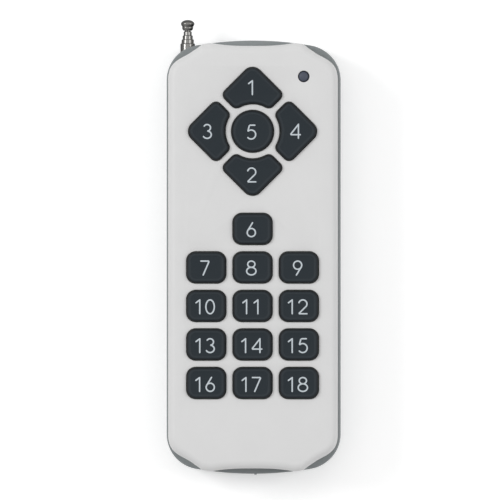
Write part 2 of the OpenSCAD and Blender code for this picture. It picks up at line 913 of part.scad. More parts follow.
module battery_pad() {
    color("dimgray")
        translate([-battery_w / 4, battery_low_y + battery_l / 4, battery_z + battery_t + fit_gap])
            cube([battery_w / 2, battery_l / 2, pad_t]);
}
connector_t = 1.6;
connector_h_inset = 2.75;
connector_w_inset = 1.25;
connector_h = battery_t - 2 * connector_h_inset;
connector_w = battery_w - 2 * connector_w_inset;
connector_r = 3;
connector_low_y = battery_high_y + terminal_l + fit_gap;
connector_grip = 2.1;
module battery_connector() {
    color([0.12, 0.12, 0.13]) {
        translate([0, connector_low_y + connector_t, battery_mid_z])
            rotate([90, 0, 0])
                linear_extrude(connector_t)
                    rounded_rect(connector_w, connector_h, connector_r);
        at_terminal(1, connector_low_y - connector_grip)
            cup(connector_grip + sink);
        at_terminal(-1, connector_low_y - connector_grip)
            cylinder(d = stud_d, h = connector_grip + sink);
    }
}

// Battery leads: a round tube swept along its route, whose points are a distance along Y from the
// connector and a share of the rise to the board
lead_d = 1.3;
lead_x = 4.5;
lead_sides = 8;
lead_route = [[0, 0], [1.4, 0], [3, 0.03], [4.8, 0.12], [6.4, 0.28], [7.6, 0.47], [8.3, 0.67],
              [8.4, 0.83], [8.4, 1]];
lead_low_y = connector_low_y + connector_t;
lead_rise = board_under - battery_mid_z;
function lead_points(x) = [for (p = lead_route) [x, lead_low_y + p.x, battery_mid_z + p.y * lead_rise]];
function unit(v) = v / norm(v);
module swept_tube(points, d, sides) {
    last = len(points) - 1;
    skin([for (i = [0 : last])
        let (ahead = unit(points[min(i + 1, last)] - points[max(i - 1, 0)]),
             across = unit(cross(ahead, [1, 0, 0])))
        [for (k = [0 : sides - 1])
            points[i] + d / 2 * (cos(360 * k / sides) * [1, 0, 0] - sin(360 * k / sides) * across)]]);
}
module red_lead() {
    color("red")
        swept_tube(lead_points(lead_x), lead_d, lead_sides);
}
module black_lead() {
    color([0.1, 0.1, 0.1])
        swept_tube(lead_points(-lead_x), lead_d, lead_sides);
}

// What the board carries underneath, at shares of its width and of what the bay leaves of the case
function under_board(share) =
    [share.x * board_w, bay_high_y + share.y * (case_l / 2 - bay_high_y), board_under];
chip_w = 7.5;
chip_l = 11.6;
chip_h = 2.2;
chip_gap = 0.15;
chip_legs = 9;
leg_pitch = 1.2;
leg_w = 0.4;
leg_reach = 1.4;
leg_t = 0.25;
chip_share = [-0.02, 0.332];
module encoder_chip() {
    color(carbon_color)
        translate(under_board(chip_share)) {
            translate([0, 0, -chip_gap - chip_h / 2])
                cube([chip_w, chip_l, chip_h], center = true);
            for (s = [-1, 1], i = [0 : chip_legs - 1])
                translate([s * (chip_w + leg_reach) / 2, (i - (chip_legs - 1) / 2) * leg_pitch, 0]) {
                    translate([0, 0, -leg_t / 2])
                        cube([leg_reach, leg_w, leg_t], center = true);
                    translate([-s * (leg_reach - leg_t) / 2, 0, -chip_h / 4])
                        cube([leg_t + sink, leg_w, chip_h / 2], center = true);
                }
        }
}

can_d = 9.2;
can_h = 3.2;
can_brim = 0.5;
can_share = [0.2, 0.609];
module resonator_can() {
    color(steel_color)
        translate(under_board(can_share)) {
            translate([0, 0, -can_brim])
                cylinder(d = can_d + 2 * can_brim, h = can_brim);
            translate([0, 0, -can_h])
                cylinder(d = can_d, h = can_h);
        }
}

resistor_size = [3.2, 1.6, 0.6];
resistor_count = 6;
resistor_share = [0.24, 0.212];
resistor_step_share = [0, 0.041];
capacitor_d = 5;
capacitor_h = 7;
capacitor_share = [-0.16, 0.609];
transistor_d = 4.6;
transistor_h = 4.8;
transistor_share = [-0.02, 0.747];
module small_parts() {
    color("peru") {
        for (i = [0 : resistor_count - 1])
            translate(under_board(resistor_share + i * resistor_step_share))
                translate([0, 0, -resistor_size.z / 2])
                    cube(resistor_size, center = true);
        translate(under_board(capacitor_share))
            mirror([0, 0, 1])
                cylinder(d = capacitor_d, h = capacitor_h);
        translate(under_board(transistor_share))
            mirror([0, 0, 1])
                difference() {
                    cylinder(d = transistor_d, h = transistor_h);
                    translate([-transistor_d / 2, transistor_d / 4, -overrun])
                        cube([transistor_d, transistor_d, transistor_h + 2 * overrun]);
                }
    }
}

front_cover();
rear_shell();
battery_door();
keypad_mat();
circuit_board();
contact_pads();
led_lens();
indicator_led();
antenna_tube(0);  // antenna_sleeve
antenna_tube(1);  // antenna_section_1
antenna_tube(2);  // antenna_section_2
antenna_tube(3);  // antenna_section_3
antenna_tip();
antenna_clip();
antenna_screw();
case_screws();
battery();
battery_pad();
battery_connector();
red_lead();
black_lead();
encoder_chip();
resonator_can();
small_parts();
for (n = [1 : 18]) {
    key(n);
    pill(n);
}
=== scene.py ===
import math
from functools import partial

import bmesh
import bpy
from bpy.props import FloatProperty, FloatVectorProperty, IntProperty, PointerProperty
from bpy.types import Operator, Panel, PropertyGroup
from mathutils import Matrix, Vector
from mathutils.geometry import tessellate_polygon


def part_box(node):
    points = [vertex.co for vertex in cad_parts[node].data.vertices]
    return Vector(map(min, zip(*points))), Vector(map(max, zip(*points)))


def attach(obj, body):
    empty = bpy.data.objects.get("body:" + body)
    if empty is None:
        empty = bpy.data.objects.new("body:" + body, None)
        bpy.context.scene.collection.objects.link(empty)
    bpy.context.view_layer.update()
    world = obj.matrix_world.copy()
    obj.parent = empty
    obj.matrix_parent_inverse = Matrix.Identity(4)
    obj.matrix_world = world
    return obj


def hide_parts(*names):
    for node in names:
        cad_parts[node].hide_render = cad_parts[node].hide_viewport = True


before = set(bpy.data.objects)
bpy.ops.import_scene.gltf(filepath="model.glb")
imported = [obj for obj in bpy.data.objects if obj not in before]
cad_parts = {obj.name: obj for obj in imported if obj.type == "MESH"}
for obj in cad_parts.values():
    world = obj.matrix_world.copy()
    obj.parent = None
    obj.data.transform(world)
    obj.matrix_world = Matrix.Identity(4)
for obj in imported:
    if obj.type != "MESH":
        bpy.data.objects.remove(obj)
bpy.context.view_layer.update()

bl_info = {
    "name": "Wireless remote control",
    "version": (1, 0, 0),
    "blender": (4, 5, 0),
    "location": "3D View > Sidebar > Remote",
    "description": "Builds a hand-held remote control with a telescopic antenna",
    "category": "Add Mesh",
}

MM = 0.001
COVER_LOW, COVER_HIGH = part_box("front_cover")
SHELL_LOW, SHELL_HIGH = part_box("rear_shell")
KEY_BOXES = {n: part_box(f"key_{n}") for n in range(1, 19)}
PILL_BOXES = {n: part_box(f"pill_{n}") for n in KEY_BOXES}
LENS_LOW, LENS_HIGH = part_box("led_lens")
TUBES = {"antenna_sleeve": "case", "antenna_section_1": "section_1",
         "antenna_section_2": "section_2", "antenna_section_3": "section_3"}
TUBE_BOXES = [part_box(name) for name in TUBES]
SLEEVE_LOW, SLEEVE_HIGH = TUBE_BOXES[0]
SLEEVE_RADIUS = (SLEEVE_HIGH.x - SLEEVE_LOW.x) / 2
AXIS = (SLEEVE_LOW + SLEEVE_HIGH) / 2
TIP_LOW, TIP_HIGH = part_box("antenna_tip")
DOOR_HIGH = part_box("battery_door")[1]
BATTERY_LOW, BATTERY_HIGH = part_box("battery")
SCREWS_LOW, SCREWS_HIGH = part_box("case_screws")
WHITE = (1.0, 1.0, 1.0, 1.0)


# Sizes and colours


def number(description, default, **kind):
    """A property that gets its name with its group."""
    return partial(FloatProperty, description=description, default=default, **kind)


def size(description, default):
    """A length that the sidebar shows in the scene's units."""
    return number(description, default, min=0.0, precision=5, unit="LENGTH")


def linear(value):
    """The light that a screen value stands for."""
    return value / 12.92 if value <= 0.04045 else ((value + 0.055) / 1.055) ** 2.4


def paint(description, red, green, blue):
    """A colour, given as it looks on a screen in steps of 255."""
    return partial(FloatVectorProperty, description=description, subtype="COLOR", size=3,
                   min=0.0, max=1.0, default=[linear(c / 255) for c in (red, green, blue)])


def named(group):
    """Completes a group's properties: each is named after its identifier."""
    for key, prop in group.__annotations__.items():
        group.__annotations__[key] = prop(name=key.replace("_", " ").capitalize())
    return group


@named
class CaseSizes(PropertyGroup):
    """Sizes of the two halves of the case."""
    length: size("Length of the case", 2 * SHELL_HIGH.y)
    width: size("Width of the case", 2 * SHELL_HIGH.x)
    face: size("Height of the key face above the back", COVER_HIGH.z)
    seam: size("Height of the seam between the two halves", COVER_LOW.z)
    wall: size("Thickness of the side walls", 2 * MM)
    floor: size("Thickness of the rear shell's floor", 2.8 * MM)
    face_thickness: size("Thickness of the front cover's face", 2 * MM)
    end_radius: size("Radius of the long curve of each end", 105 * MM)
    corner_radius: size("Radius of the corners in plan", 10.9 * MM)
    back_edge: size("Rounding of the edge round the back", 4 * MM)
    face_edge: size("Rounding of the edge round the key face", 2.6 * MM)
    rim: size("Rounding of the rear shell's upper rim", 0.5 * MM)
    side_band: size("Width of the rear shell that shows beside the cover", 0.66 * MM)
    end_dip: size("Depth of the cover's dip at the middle of each end", 1.76 * MM)
    corner_dip: size("Depth of the cover's scallop at each corner", 2 * MM)
    seam_edge: size("Rounding of the cover's lower edge", 0.25 * MM)
    hole_edge: size("Rounding of the edge round each opening", 0.15 * MM)
    lamp_hole: size("Diameter of the opening for the signal lamp", 3.6 * MM)
    lip_gap: size("Gap between the cover and the lip inside it", 0.15 * MM)
    lip: size("Thickness of the lip inside the cover", 0.8 * MM)
    lip_height: size("Height of the lip above the seam", 1.2 * MM)
    boss: size("Diameter of the cover's screw bosses", 5.2 * MM)
    boss_bore: size("Diameter of the bore in a screw boss", 2.5 * MM)
    boss_end: size("Distance of the bore's end from the face's underside", 1 * MM)
    rear_boss: size("Diameter of the rear shell's screw bosses", 7.3 * MM)
    board_post: size("Diameter of the posts under the circuit board", 3.4 * MM)
    clip_boss: size("Diameter of the boss under the antenna clip", 5.2 * MM)
    bay_gap: size("Gap round the battery", 0.3 * MM)
    bay_wall: size("Thickness of the battery bay's walls", 1.2 * MM)
    bay_room: size("Room for the battery's connector", 6 * MM)
    bay_headroom: size("Gap above the battery", 0.9 * MM)
    bay_ceiling: size("Thickness of the battery bay's ceiling", 0.8 * MM)


@named
class KeySizes(PropertyGroup):
    """Sizes of the keys and of the numbers on them."""
    corner: size("Corner radius of a grid key in plan", 2.8 * MM)
    edge: size("Rounding of a key's upper edge", 0.9 * MM)
    gap: size("Gap between a key and its opening", 0.2 * MM)
    dish: size("Depth of the finger dish in a key", 0.12 * MM)
    dish_width: size("Width of the slope round the dish", 0.6 * MM)
    pad_bar: size("Width of the bars between the pad's keys", 2.2 * MM)
    pad_ring: size("Radius of the hollow in the pad's outer keys", 8.6 * MM)
    pad_tip: size("Rounding of the pad's four tips", 3.1 * MM)
    pad_side: size("Rounding of the pad keys' other corners", 1.8 * MM)
    digit_height: size("Height of a printed digit", 4.75 * MM)
    digit_stroke: size("Width of a digit's line", 0.45 * MM)
    digit_pitch: size("Distance between the middles of two digits", 3.93 * MM)
    ink: size("Height of the ink above the key", 0.03 * MM)


@named
class AntennaSizes(PropertyGroup):
    """Sizes of the telescopic antenna."""
    tube_wall: size("Wall thickness of each tube", 0.2 * MM)
    running_gap: size("Radial gap between two tubes", 0.05 * MM)
    section_1: size("Diameter of the first moving tube", 3.85 * MM)
    section_2: size("Diameter of the second moving tube", 3.2 * MM)
    section_3: size("Diameter of the third moving tube", 2.55 * MM)
    rod: size("Diameter of the innermost rod", 1.85 * MM)
    roll: size("Rounding of each tube's rolled mouth", 0.34 * MM)
    crimp: size("Length of the narrow mouth of each tube", 1.5 * MM)
    collar: size("Length of the collar at the foot of each tube", 2 * MM)
    knob: size("Length of the knob on the tip", 3.4 * MM)


@named
class BackSizes(PropertyGroup):
    """Sizes of what the back shows."""
    door_gap: size("Gap round the battery door", 0.2 * MM)
    tongue: size("Width of the door's tongues", 0.9 * MM)
    door_edge: size("Chamfer round the battery door", 0.2 * MM)
    thumb: size("Diameter of the thumb recess", 14 * MM)
    thumb_depth: size("Depth of the thumb recess", 0.7 * MM)
    thumb_margin: size("Distance of the recess from the door's upper edge", 3 * MM)
    rib: size("Width of a rib in the recess", 0.8 * MM)
    rib_pitch: size("Distance between two ribs", 2 * MM)
    rib_count: partial(IntProperty, description="Number of ribs in the recess", default=5, min=1)
    panel_width: size("Width of the blank panel", 36 * MM)
    panel_length: size("Length of the blank panel", 34 * MM)
    panel_corner: size("Corner radius of the blank panel", 1.5 * MM)
    panel_depth: size("Depth of the blank panel", 0.3 * MM)
    panel_place: number("Place of the panel between door and upper end", 0.406, min=0.0, max=1.0)
    screw_head: size("Diameter of a case screw's head", 4.2 * MM)
    screw_spread: size("Distance of the upper screws from the middle", 11 * MM)
    screw_recess: size("Diameter of the recess round a screw head", 4.9 * MM)
    screw_seat: size("Height of the seat of a case screw", 10 * MM)


@named
class Finishes(PropertyGroup):
    """Colours of the finishes."""
    cover: paint("Light plastic of the front cover", 216, 216, 216)
    shell: paint("Grey plastic of the rear shell and the door", 130, 135, 136)
    rubber: paint("Black rubber of the keys", 23, 32, 38)
    # Painted highlight: a lighter ring on the keys' faces just inside their edges, standing in for
    # light caught by the rounded edge
    rubber_crest: paint("Black rubber where the keys' faces are rubbed", 35, 42, 47)
    # Painted shade: the keys' rubber is drawn darker down their rounded edges, standing in for the
    # shade there
    rubber_edge: paint("Black rubber at the keys' edges", 14, 17, 20)
    ink: paint("Printed numbers", 194, 202, 208)
    lens: paint("Smoked plastic of the lamp's lens", 70, 75, 88)
    chrome: paint("Chrome plate of the antenna", 114, 113, 111)
    steel: paint("Zinc-plated steel of the screws", 186, 188, 192)
    wrapper: paint("Plain wrapper of the battery", 52, 55, 62)
    floor: paint("Pale floor", 247, 247, 247)


@named
class StageSizes(PropertyGroup):
    """The camera and the lamps."""
    frame_width: size("Width that the camera takes in at the key face", 155.5 * MM)
    centre_x: number("What the camera looks at, across", -0.8 * MM, precision=5, unit="LENGTH")
    centre_y: number("What the camera looks at, along", 2.23 * MM, precision=5, unit="LENGTH")
    distance: size("Distance of the camera from the key face", 5.0)
    turn: number("How far the camera turns to the right", math.radians(1.35), unit="ROTATION")
    floor_width: size("Width of the floor", 6.0)
    sky: number("Strength of the light from all round", 0.5, min=0.0)
    key_lamp: number("Power of the lamp at the left", 7.2, min=0.0, unit="POWER")
    fill_lamp: number("Power of the lamp at the right", 4.4, min=0.0, unit="POWER")
    top_lamp: number("Power of the lamp overhead", 3.0, min=0.0, unit="POWER")


# Node trees


class Wire:
    """An output socket that takes part in Python expressions."""

    def __init__(self, graph, socket):
        self.graph = graph
        self.socket = socket

    def __add__(self, other):
        return self.graph.maths("ADD", self, other)

    def __sub__(self, other):
        return self.graph.maths("SUBTRACT", self, other)

    def __rsub__(self, other):
        return self.graph.maths("SUBTRACT", other, self)

    def __mul__(self, other):
        return self.graph.maths("MULTIPLY", self, other)

    def __truediv__(self, other):
        return self.graph.maths("DIVIDE", self, other)

    __radd__ = __add__
    __rmul__ = __mul__


class Graph:
    """A node tree while its nodes are made."""

    def __init__(self, tree):
        self.tree = tree
        tree.nodes.clear()

    def feed(self, socket, value):
        """Joins a wire to a socket, or sets the socket's value."""
        if isinstance(value, Wire):
            self.tree.links.new(value.socket, socket)
        else:
            socket.default_value = value

    def node(self, kind, inputs=None, **settings):
        """Adds a node: its settings first, then the values or wires of its sockets."""
        node = self.tree.nodes.new(kind)
        for name, value in settings.items():
            setattr(node, name, value)
        for name, value in (inputs or {}).items():
            self.feed(node.inputs[name], value)
        return node

    def wire(self, kind, output=0, inputs=None, **settings):
        """Adds a node and gives one of its outputs."""
        return Wire(self, self.node(kind, inputs, **settings).outputs[output])

    def maths(self, operation, first, second=0.0, clamp=False):
        return self.wire("ShaderNodeMath", 0, {0: first, 1: second},
                         operation=operation, use_clamp=clamp)

    def seen(self):
        """1 for what the camera sees by itself or in metal or glass, else 0."""
        path = self.node("ShaderNodeLightPath")
        camera, glossy, through = (Wire(self, path.outputs[f"Is {kind} Ray"])
                                   for kind in ("Camera", "Glossy", "Transmission"))
        return self.maths("ADD", camera, glossy + through, clamp=True)


class Finish(Graph):
    """A material while its nodes are made."""

    def __init__(self, name, roughness=0.5, metallic=0.0, coat=0.0, specular=0.5):
        self.material = bpy.data.materials.new(name)
        self.material.use_nodes = True
        super().__init__(self.material.node_tree)
        self.surface = self.node("ShaderNodeBsdfPrincipled", {
            "Roughness": roughness, "Metallic": metallic, "Coat Weight": coat,
            "Specular IOR Level": specular})
        self.shader = Wire(self, self.surface.outputs["BSDF"])
        self.output = self.node("ShaderNodeOutputMaterial", {"Surface": self.shader})

    def place(self):
        """Where a point lies on the object."""
        return self.wire("ShaderNodeTexCoord", "Object")

    def noise(self, grain, detail=2.0, roughness=0.5):
        """Noise whose spots are about as wide as grain."""
        return self.wire("ShaderNodeTexNoise", 0, {
            "Vector": self.place(), "Scale": 1 / grain, "Detail": detail, "Roughness": roughness})

    def step(self, value, start, end):
        """0 below start and 1 above end, with a smooth rise between."""
        return self.wire("ShaderNodeMapRange", "Result", {
            "Value": value, "From Min": start, "From Max": end}, interpolation_type="SMOOTHSTEP")

    def blend(self, factor, first, second):
        """A colour between two colours, which may be wires."""
        return self.wire("ShaderNodeMix", 2, {0: factor, 6: opaque(first), 7: opaque(second)},
                         data_type="RGBA")

    def shade(self, colour, change, amount):
        """A colour that a pattern makes lighter and darker by a share."""
        dark = tuple(c * (1 - amount) for c in colour)
        light = tuple(min(1.0, c * (1 + amount)) for c in colour)
        return self.blend(change, dark, light)

    def base(self, colour):
        self.feed(self.surface.inputs["Base Color"], colour)

    def vary(self, name, low, high, change):
        """Lets a number of the surface run from low to high with a pattern."""
        self.feed(self.surface.inputs[name], low + (high - low) * change)

    def bump(self, height, depth):
        normal = self.wire("ShaderNodeBump", "Normal", {"Height": height, "Distance": depth})
        self.feed(self.surface.inputs["Normal"], normal)


def opaque(colour):
    """A colour as a socket takes it: a wire, or a plain colour with its alpha."""
    return colour if isinstance(colour, Wire) else (*colour, 1.0)


def make_finish(colour, spots, roughness, grain, depth, name, **surface):
    """A material with spots of another shade and shine and a fine relief.

    colour gives the colour's wire from the finish and its spots. spots and grain are the
    arguments of a noise, and roughness is a range."""
    finish = Finish(name, **surface)
    patches = finish.noise(*spots)
    finish.base(colour(finish, patches))
    finish.vary("Roughness", *roughness, patches)
    finish.bump(finish.noise(*grain), depth)
    return finish.material


def spotted(colour, amount):
    """One colour, made lighter and darker by the spots."""
    return lambda finish, spots: finish.shade(colour, spots, amount)


def moulded_plastic(colour, grain, depth, roughness):
    """Matte moulded plastic with an eroded texture and faint rub marks."""
    return partial(make_finish, spotted(colour, 0.03), (9 * MM, 4.0, 0.6),
                   (roughness - 0.07, roughness + 0.07), (grain, 3.0, 0.6), depth, specular=0.4)


def sheet_metal(colour, roughness):
    """Zinc plate or bare sheet with a fine brushed grain."""
    return partial(make_finish, spotted(colour, 0.08), (0.6 * MM, 5.0, 0.7),
                   (roughness - 0.08, roughness + 0.12), (0.14 * MM, 3.0), 0.006 * MM, metallic=1.0)


def soft_finish(colour, grain, depth, roughness=0.7):
    """Foam, rubber, wire sleeves and moulded bodies, whose spots are also their relief."""
    spots = (grain, 4.0, 0.65)
    return partial(make_finish, spotted(colour, 0.18), spots, (roughness - 0.1, roughness + 0.1),
                   spots, depth)


def key_rubber(colours):
    """Silicone rubber with a powdery face, painted shade down its edges and a painted highlight
    just inside them.
    """
    def colour(finish, dust):
        inset = finish.wire("ShaderNodeAttribute", "Fac", attribute_name="inset")
        face = finish.shade(colours.rubber, dust, 0.12)
        painted_highlight = finish.shade(colours.rubber_crest, dust, 0.12)
        # crest marks the ring just inside each key's edge that gets the painted highlight
        crest = finish.step(inset, 0.5 * MM, 0.95 * MM) - finish.step(inset, 0.95 * MM, 1.45 * MM)
        # top is 0 down the keys' rounded edges, where the painted shade colour takes over, and 1 on
        # their faces
        top = finish.step(inset, 0.15 * MM, 0.75 * MM)
        return finish.blend(top, colours.rubber_edge, finish.blend(crest, face, painted_highlight))
    return partial(make_finish, colour, (3 * MM, 5.0, 0.65), (0.52, 0.68), (0.11 * MM,), 0.012 * MM,
                   specular=0.25)


def chrome_plate(colours):
    """Bright plate with a faint haze and a painted dark reflection where it turns away from the
    eye.
    """
    def colour(finish, haze):
        # Painted dark reflection: where the plate faces away from the eye its colour turns near
        # black
        edge = finish.step(finish.wire("ShaderNodeLayerWeight", "Facing", {"Blend": 0.5}), 0.1, 0.5)
        return finish.blend(edge, finish.shade(colours.chrome, haze, 0.05), (0.035, 0.035, 0.034))
    return partial(make_finish, colour, (1.2 * MM, 4.0), (0.19, 0.25), (0.2 * MM,), 0.002 * MM,
                   metallic=1.0)


def battery_wrapper(colours):
    """Printed foil wrapper with a plain lighter band at the battery's upper end."""
    end, blur, creases = BATTERY_HIGH.y - 14 * MM, 0.2 * MM, (6 * MM, 4.0)

    def colour(finish, spots):
        along = finish.wire("ShaderNodeSeparateXYZ", "Y", {"Vector": finish.place()})
        band = finish.step(along, end - blur, end + blur)
        return finish.blend(band, finish.shade(colours.wrapper, spots, 0.1), (0.32, 0.20, 0.075))
    return partial(make_finish, colour, creases, (0.28, 0.42), creases, 0.05 * MM, coat=0.3)


def solder_mask(name):
    """Green lacquer over copper tracks that run along and across the board."""
    finish = Finish(name, roughness=0.34, coat=0.3)
    mask, copper, black = (0.014, 0.10, 0.045), (0.05, 0.19, 0.07), (0.0, 0.0, 0.0, 1.0)
    tracks = finish.wire("ShaderNodeTexBrick", "Fac", {
        "Vector": finish.place(), "Scale": 1 / MM, "Mortar Size": 0.09, "Brick Width": 4.4,
        "Row Height": 1.3, "Color1": black, "Color2": black, "Mortar": WHITE},
        offset=0.5, squash=1.0)
    finish.base(finish.blend(tracks, mask, copper))
    finish.bump(tracks + 0.3 * finish.noise(0.8 * MM), 0.02 * MM)
    return finish.material


def make_finishes(colours):
    """All materials, by the name of the finish: each recipe lacks only its name."""
    recipes = {
        "cover_plastic": moulded_plastic(colours.cover, 0.22 * MM, 0.008 * MM, 0.5),
        "shell_plastic": moulded_plastic(colours.shell, 0.3 * MM, 0.014 * MM, 0.55),
        "key_rubber": key_rubber(colours),
        "mat_rubber": soft_finish((0.017, 0.021, 0.026), 3 * MM, 0.02 * MM, 0.6),
        "ink": partial(make_finish, spotted(colours.ink, 0.05), (0.5 * MM, 3.0), (0.42, 0.6),
                       (0.08 * MM,), 0.006 * MM, specular=0.3),
        "lens": partial(make_finish, spotted(colours.lens, 0.08), (1.6 * MM, 3.0), (0.48, 0.48),
                        (0.5 * MM,), 0.004 * MM, specular=0.3),
        "antenna_chrome": chrome_plate(colours),
        "screw_steel": sheet_metal(colours.steel, 0.34),
        "clip_metal": sheet_metal((0.58, 0.55, 0.48), 0.36),
        "can_metal": sheet_metal((0.62, 0.62, 0.60), 0.3),
        "contact_metal": sheet_metal((0.72, 0.52, 0.20), 0.32),
        "battery": battery_wrapper(colours),
        "board": solder_mask,
        "carbon": soft_finish((0.012, 0.012, 0.013), 0.3 * MM, 0.01 * MM),
        "foam": soft_finish((0.035, 0.035, 0.036), 0.35 * MM, 0.12 * MM, 0.85),
        "connector": soft_finish((0.018, 0.018, 0.02), 0.8 * MM, 0.02 * MM, 0.55),
        "red_sleeve": soft_finish((0.42, 0.012, 0.012), 1.2 * MM, 0.01 * MM, 0.45),
        "black_sleeve": soft_finish((0.012, 0.012, 0.013), 1.2 * MM, 0.01 * MM, 0.45),
        "chip_body": soft_finish((0.014, 0.014, 0.016), 0.25 * MM, 0.012 * MM, 0.6),
        "component": soft_finish((0.22, 0.13, 0.07), 0.5 * MM, 0.01 * MM, 0.45),
        "led": soft_finish((0.78, 0.77, 0.7), 0.6 * MM, 0.008 * MM, 0.4),
    }
    return {name: recipe(name) for name, recipe in recipes.items()}


# Meshes from rings of points


def linked(name, data):
    """A new object in the scene."""
    piece = bpy.data.objects.new(name, data)
    bpy.context.scene.collection.objects.link(piece)
    return piece


class Skin:
    """A closed mesh made of rings of points, strips between them and flat fills.

    A mark is the name of an attribute that holds a number for each ring."""

    def __init__(self, mark=None):
        self.mesh = bmesh.new()
        self.marks = self.mesh.verts.layers.float.new(mark) if mark else None

    def ring(self, points, z=None, mark=0.0):
        """Adds a closed ring: points in a level plane, or anywhere where z is left out."""
        ring = [self.mesh.verts.new(p if z is None else (p[0], p[1], z)) for p in points]
        if self.marks:
            for corner in ring:
                corner[self.marks] = mark
        return ring

    def strip(self, first, second):
        count = len(first)
        for i in range(count):
            j = (i + 1) % count
            self.mesh.faces.new((first[i], first[j], second[j], second[i])).smooth = True

    def strips(self, rings):
        for first, second in zip(rings, rings[1:]):
            self.strip(first, second)

    def fill(self, outer, holes=()):
        """Closes a flat ring, round any holes."""
        loops = [outer, *holes]
        corners = [v for loop in loops for v in loop]
        for triangle in tessellate_polygon([[v.co for v in loop] for loop in loops]):
            self.mesh.faces.new([corners[i] for i in triangle])

    def cap(self, ring, point):
        """Closes a ring round one point."""
        pole = self.mesh.verts.new(point)
        for i in range(len(ring)):
            self.mesh.faces.new((ring[i], ring[(i + 1) % len(ring)], pole)).smooth = True

    def finished(self, name, sharp=40):
        """Turns the faces outwards and makes the object; edges past the sharp angle stay crisp."""
        bmesh.ops.recalc_face_normals(self.mesh, faces=self.mesh.faces)
        data = bpy.data.meshes.new(name)
        self.mesh.to_mesh(data)
        self.mesh.free()
        data.set_sharp_from_angle(angle=math.radians(sharp))
        return linked(name, data)


def smooth_step(t):
    """A smooth rise from 0 to 1."""
    return t * t * (3 - 2 * t)


def quarter(steps, first=0):
    """The angles of a quarter turn in steps: for each, 1 less its cosine and 1 less its sine."""
    for i in range(first, steps + 1):
        angle = math.pi / 2 * i / steps
        yield 1 - math.cos(angle), 1 - math.sin(angle)


def arc(centre, radius, start, end, steps=10, hollow=False):
    """Points of an arc with their outward normals; hollow where the solid lies outside the arc."""
    points = []
    for i in range(steps + 1):
        angle = math.radians(start + (end - start) * i / steps)
        way = Vector((math.cos(angle), math.sin(angle)))
        points.append((Vector(centre) + radius * way, -way if hollow else way))
    return points


def rounded_rectangle(width, length, radius, steps=10):
    """An outline: points with their outward normals."""
    x, y = width / 2 - radius, length / 2 - radius
    return [point for k, centre in enumerate([(x, y), (-x, y), (-x, -y), (x, -y)])
            for point in arc(centre, radius, 90 * k, 90 * k + 90, steps)]


def circle(diameter, steps=64):
    return arc((0, 0), diameter / 2, 0, 360 * (steps - 1) / steps, steps - 1)


def pad_key_outline(keys, reach):
    """One outer pad key, with its tip on the diagonal between +X and +Y."""
    low = keys.pad_bar / 2
    high = reach / math.sqrt(2)
    inner = low + keys.pad_side
    far = math.sqrt((keys.pad_ring + keys.pad_side) ** 2 - inner ** 2)
    lean = math.degrees(math.atan2(far, inner))
    tip = high - keys.pad_tip
    side = high - keys.pad_side
    return (arc((tip, tip), keys.pad_tip, 0, 90, 14)
            + arc((inner, side), keys.pad_side, 90, 180, 10)
            + arc((inner, far), keys.pad_side, 180, 180 + lean, 8)
            + arc((0, 0), keys.pad_ring, lean, 90 - lean, 16, hollow=True)
            + arc((far, inner), keys.pad_side, 270 - lean, 270, 8)
            + arc((side, inner), keys.pad_side, 270, 360, 10))


def placed(outline, centre, turn=0.0):
    """The outline, turned by degrees and then moved."""
    rotation = Matrix.Rotation(math.radians(turn), 2)
    return [(rotation @ point + Vector(centre), rotation @ normal) for point, normal in outline]


def grown(outline, amount=0.0):
    """The outline's points, moved outwards."""
    return [point + normal * amount for point, normal in outline]


class CasePlan:
    """The case seen from the front: each quarter is half a long end curve, then a corner."""

    # Shares of the quarter at which the cover's edge changes: the dip runs from the middle of the
    # end, the scallop lies at the corner, and after it comes the straight side
    DIP_END, SCALLOP_START, SCALLOP_PEAK, SCALLOP_END = 0.395, 0.474, 0.655, 0.905
    DIP_POWER = 2.4

    def __init__(self, case):
        self.case = case
        inner = case.end_radius - case.corner_radius
        self.end_y = case.length / 2 - case.end_radius
        self.corner_x = case.width / 2 - case.corner_radius
        self.turn = math.asin(self.corner_x / inner)
        self.corner_y = self.end_y + inner * math.cos(self.turn)
        self.end_run = case.end_radius * self.turn
        self.run = self.end_run + case.corner_radius * (math.pi / 2 - self.turn)
        stops = [0, self.DIP_END, self.SCALLOP_START, self.end_run / self.run, self.SCALLOP_PEAK,
                 self.SCALLOP_END, 1]
        steps = [18, 4, 7, 12, 22, 6]
        self.shares = [0.0]
        for start, end, count in zip(stops, stops[1:], steps):
            self.shares += [start + (end - start) * (i + 1) / count for i in range(count)]

    def cover_inset(self, place):
        """How far the cover's edge lies inside the case's outline at a share of the quarter."""
        case = self.case
        if place < self.DIP_END:
            return case.end_dip * (1 - (place / self.DIP_END) ** self.DIP_POWER)
        if place < self.SCALLOP_START:
            return 0.0
        if place < self.SCALLOP_PEAK:
            rise = (place - self.SCALLOP_START) / (self.SCALLOP_PEAK - self.SCALLOP_START)
            return case.corner_dip * rise * (2 - rise)
        if place < self.SCALLOP_END:
            fall = (place - self.SCALLOP_PEAK) / (self.SCALLOP_END - self.SCALLOP_PEAK)
            return case.corner_dip - (case.corner_dip - case.side_band) * smooth_step(fall)
        return case.side_band

    def point(self, place, inset):
        """The point at a share of the quarter, moved inwards."""
        run = place * self.run
        if run <= self.end_run:
            angle, radius = run / self.case.end_radius, self.case.end_radius - inset
            return radius * math.sin(angle), self.end_y + radius * math.cos(angle)
        angle = self.turn + (run - self.end_run) / self.case.corner_radius
        radius = self.case.corner_radius - inset
        return self.corner_x + radius * math.sin(angle), self.corner_y + radius * math.cos(angle)

    def ring(self, inset=0.0, follow=0.0):
        """A closed ring: follow is 1 on the cover's edge and 0 on the case's plain outline."""
        first = [self.point(s, inset + follow * self.cover_inset(s)) for s in self.shares]
        rest = first[1:]
        return (first + [(x, -y) for x, y in reversed(first)]
                + [(-x, -y) for x, y in rest] + [(-x, y) for x, y in reversed(rest)])


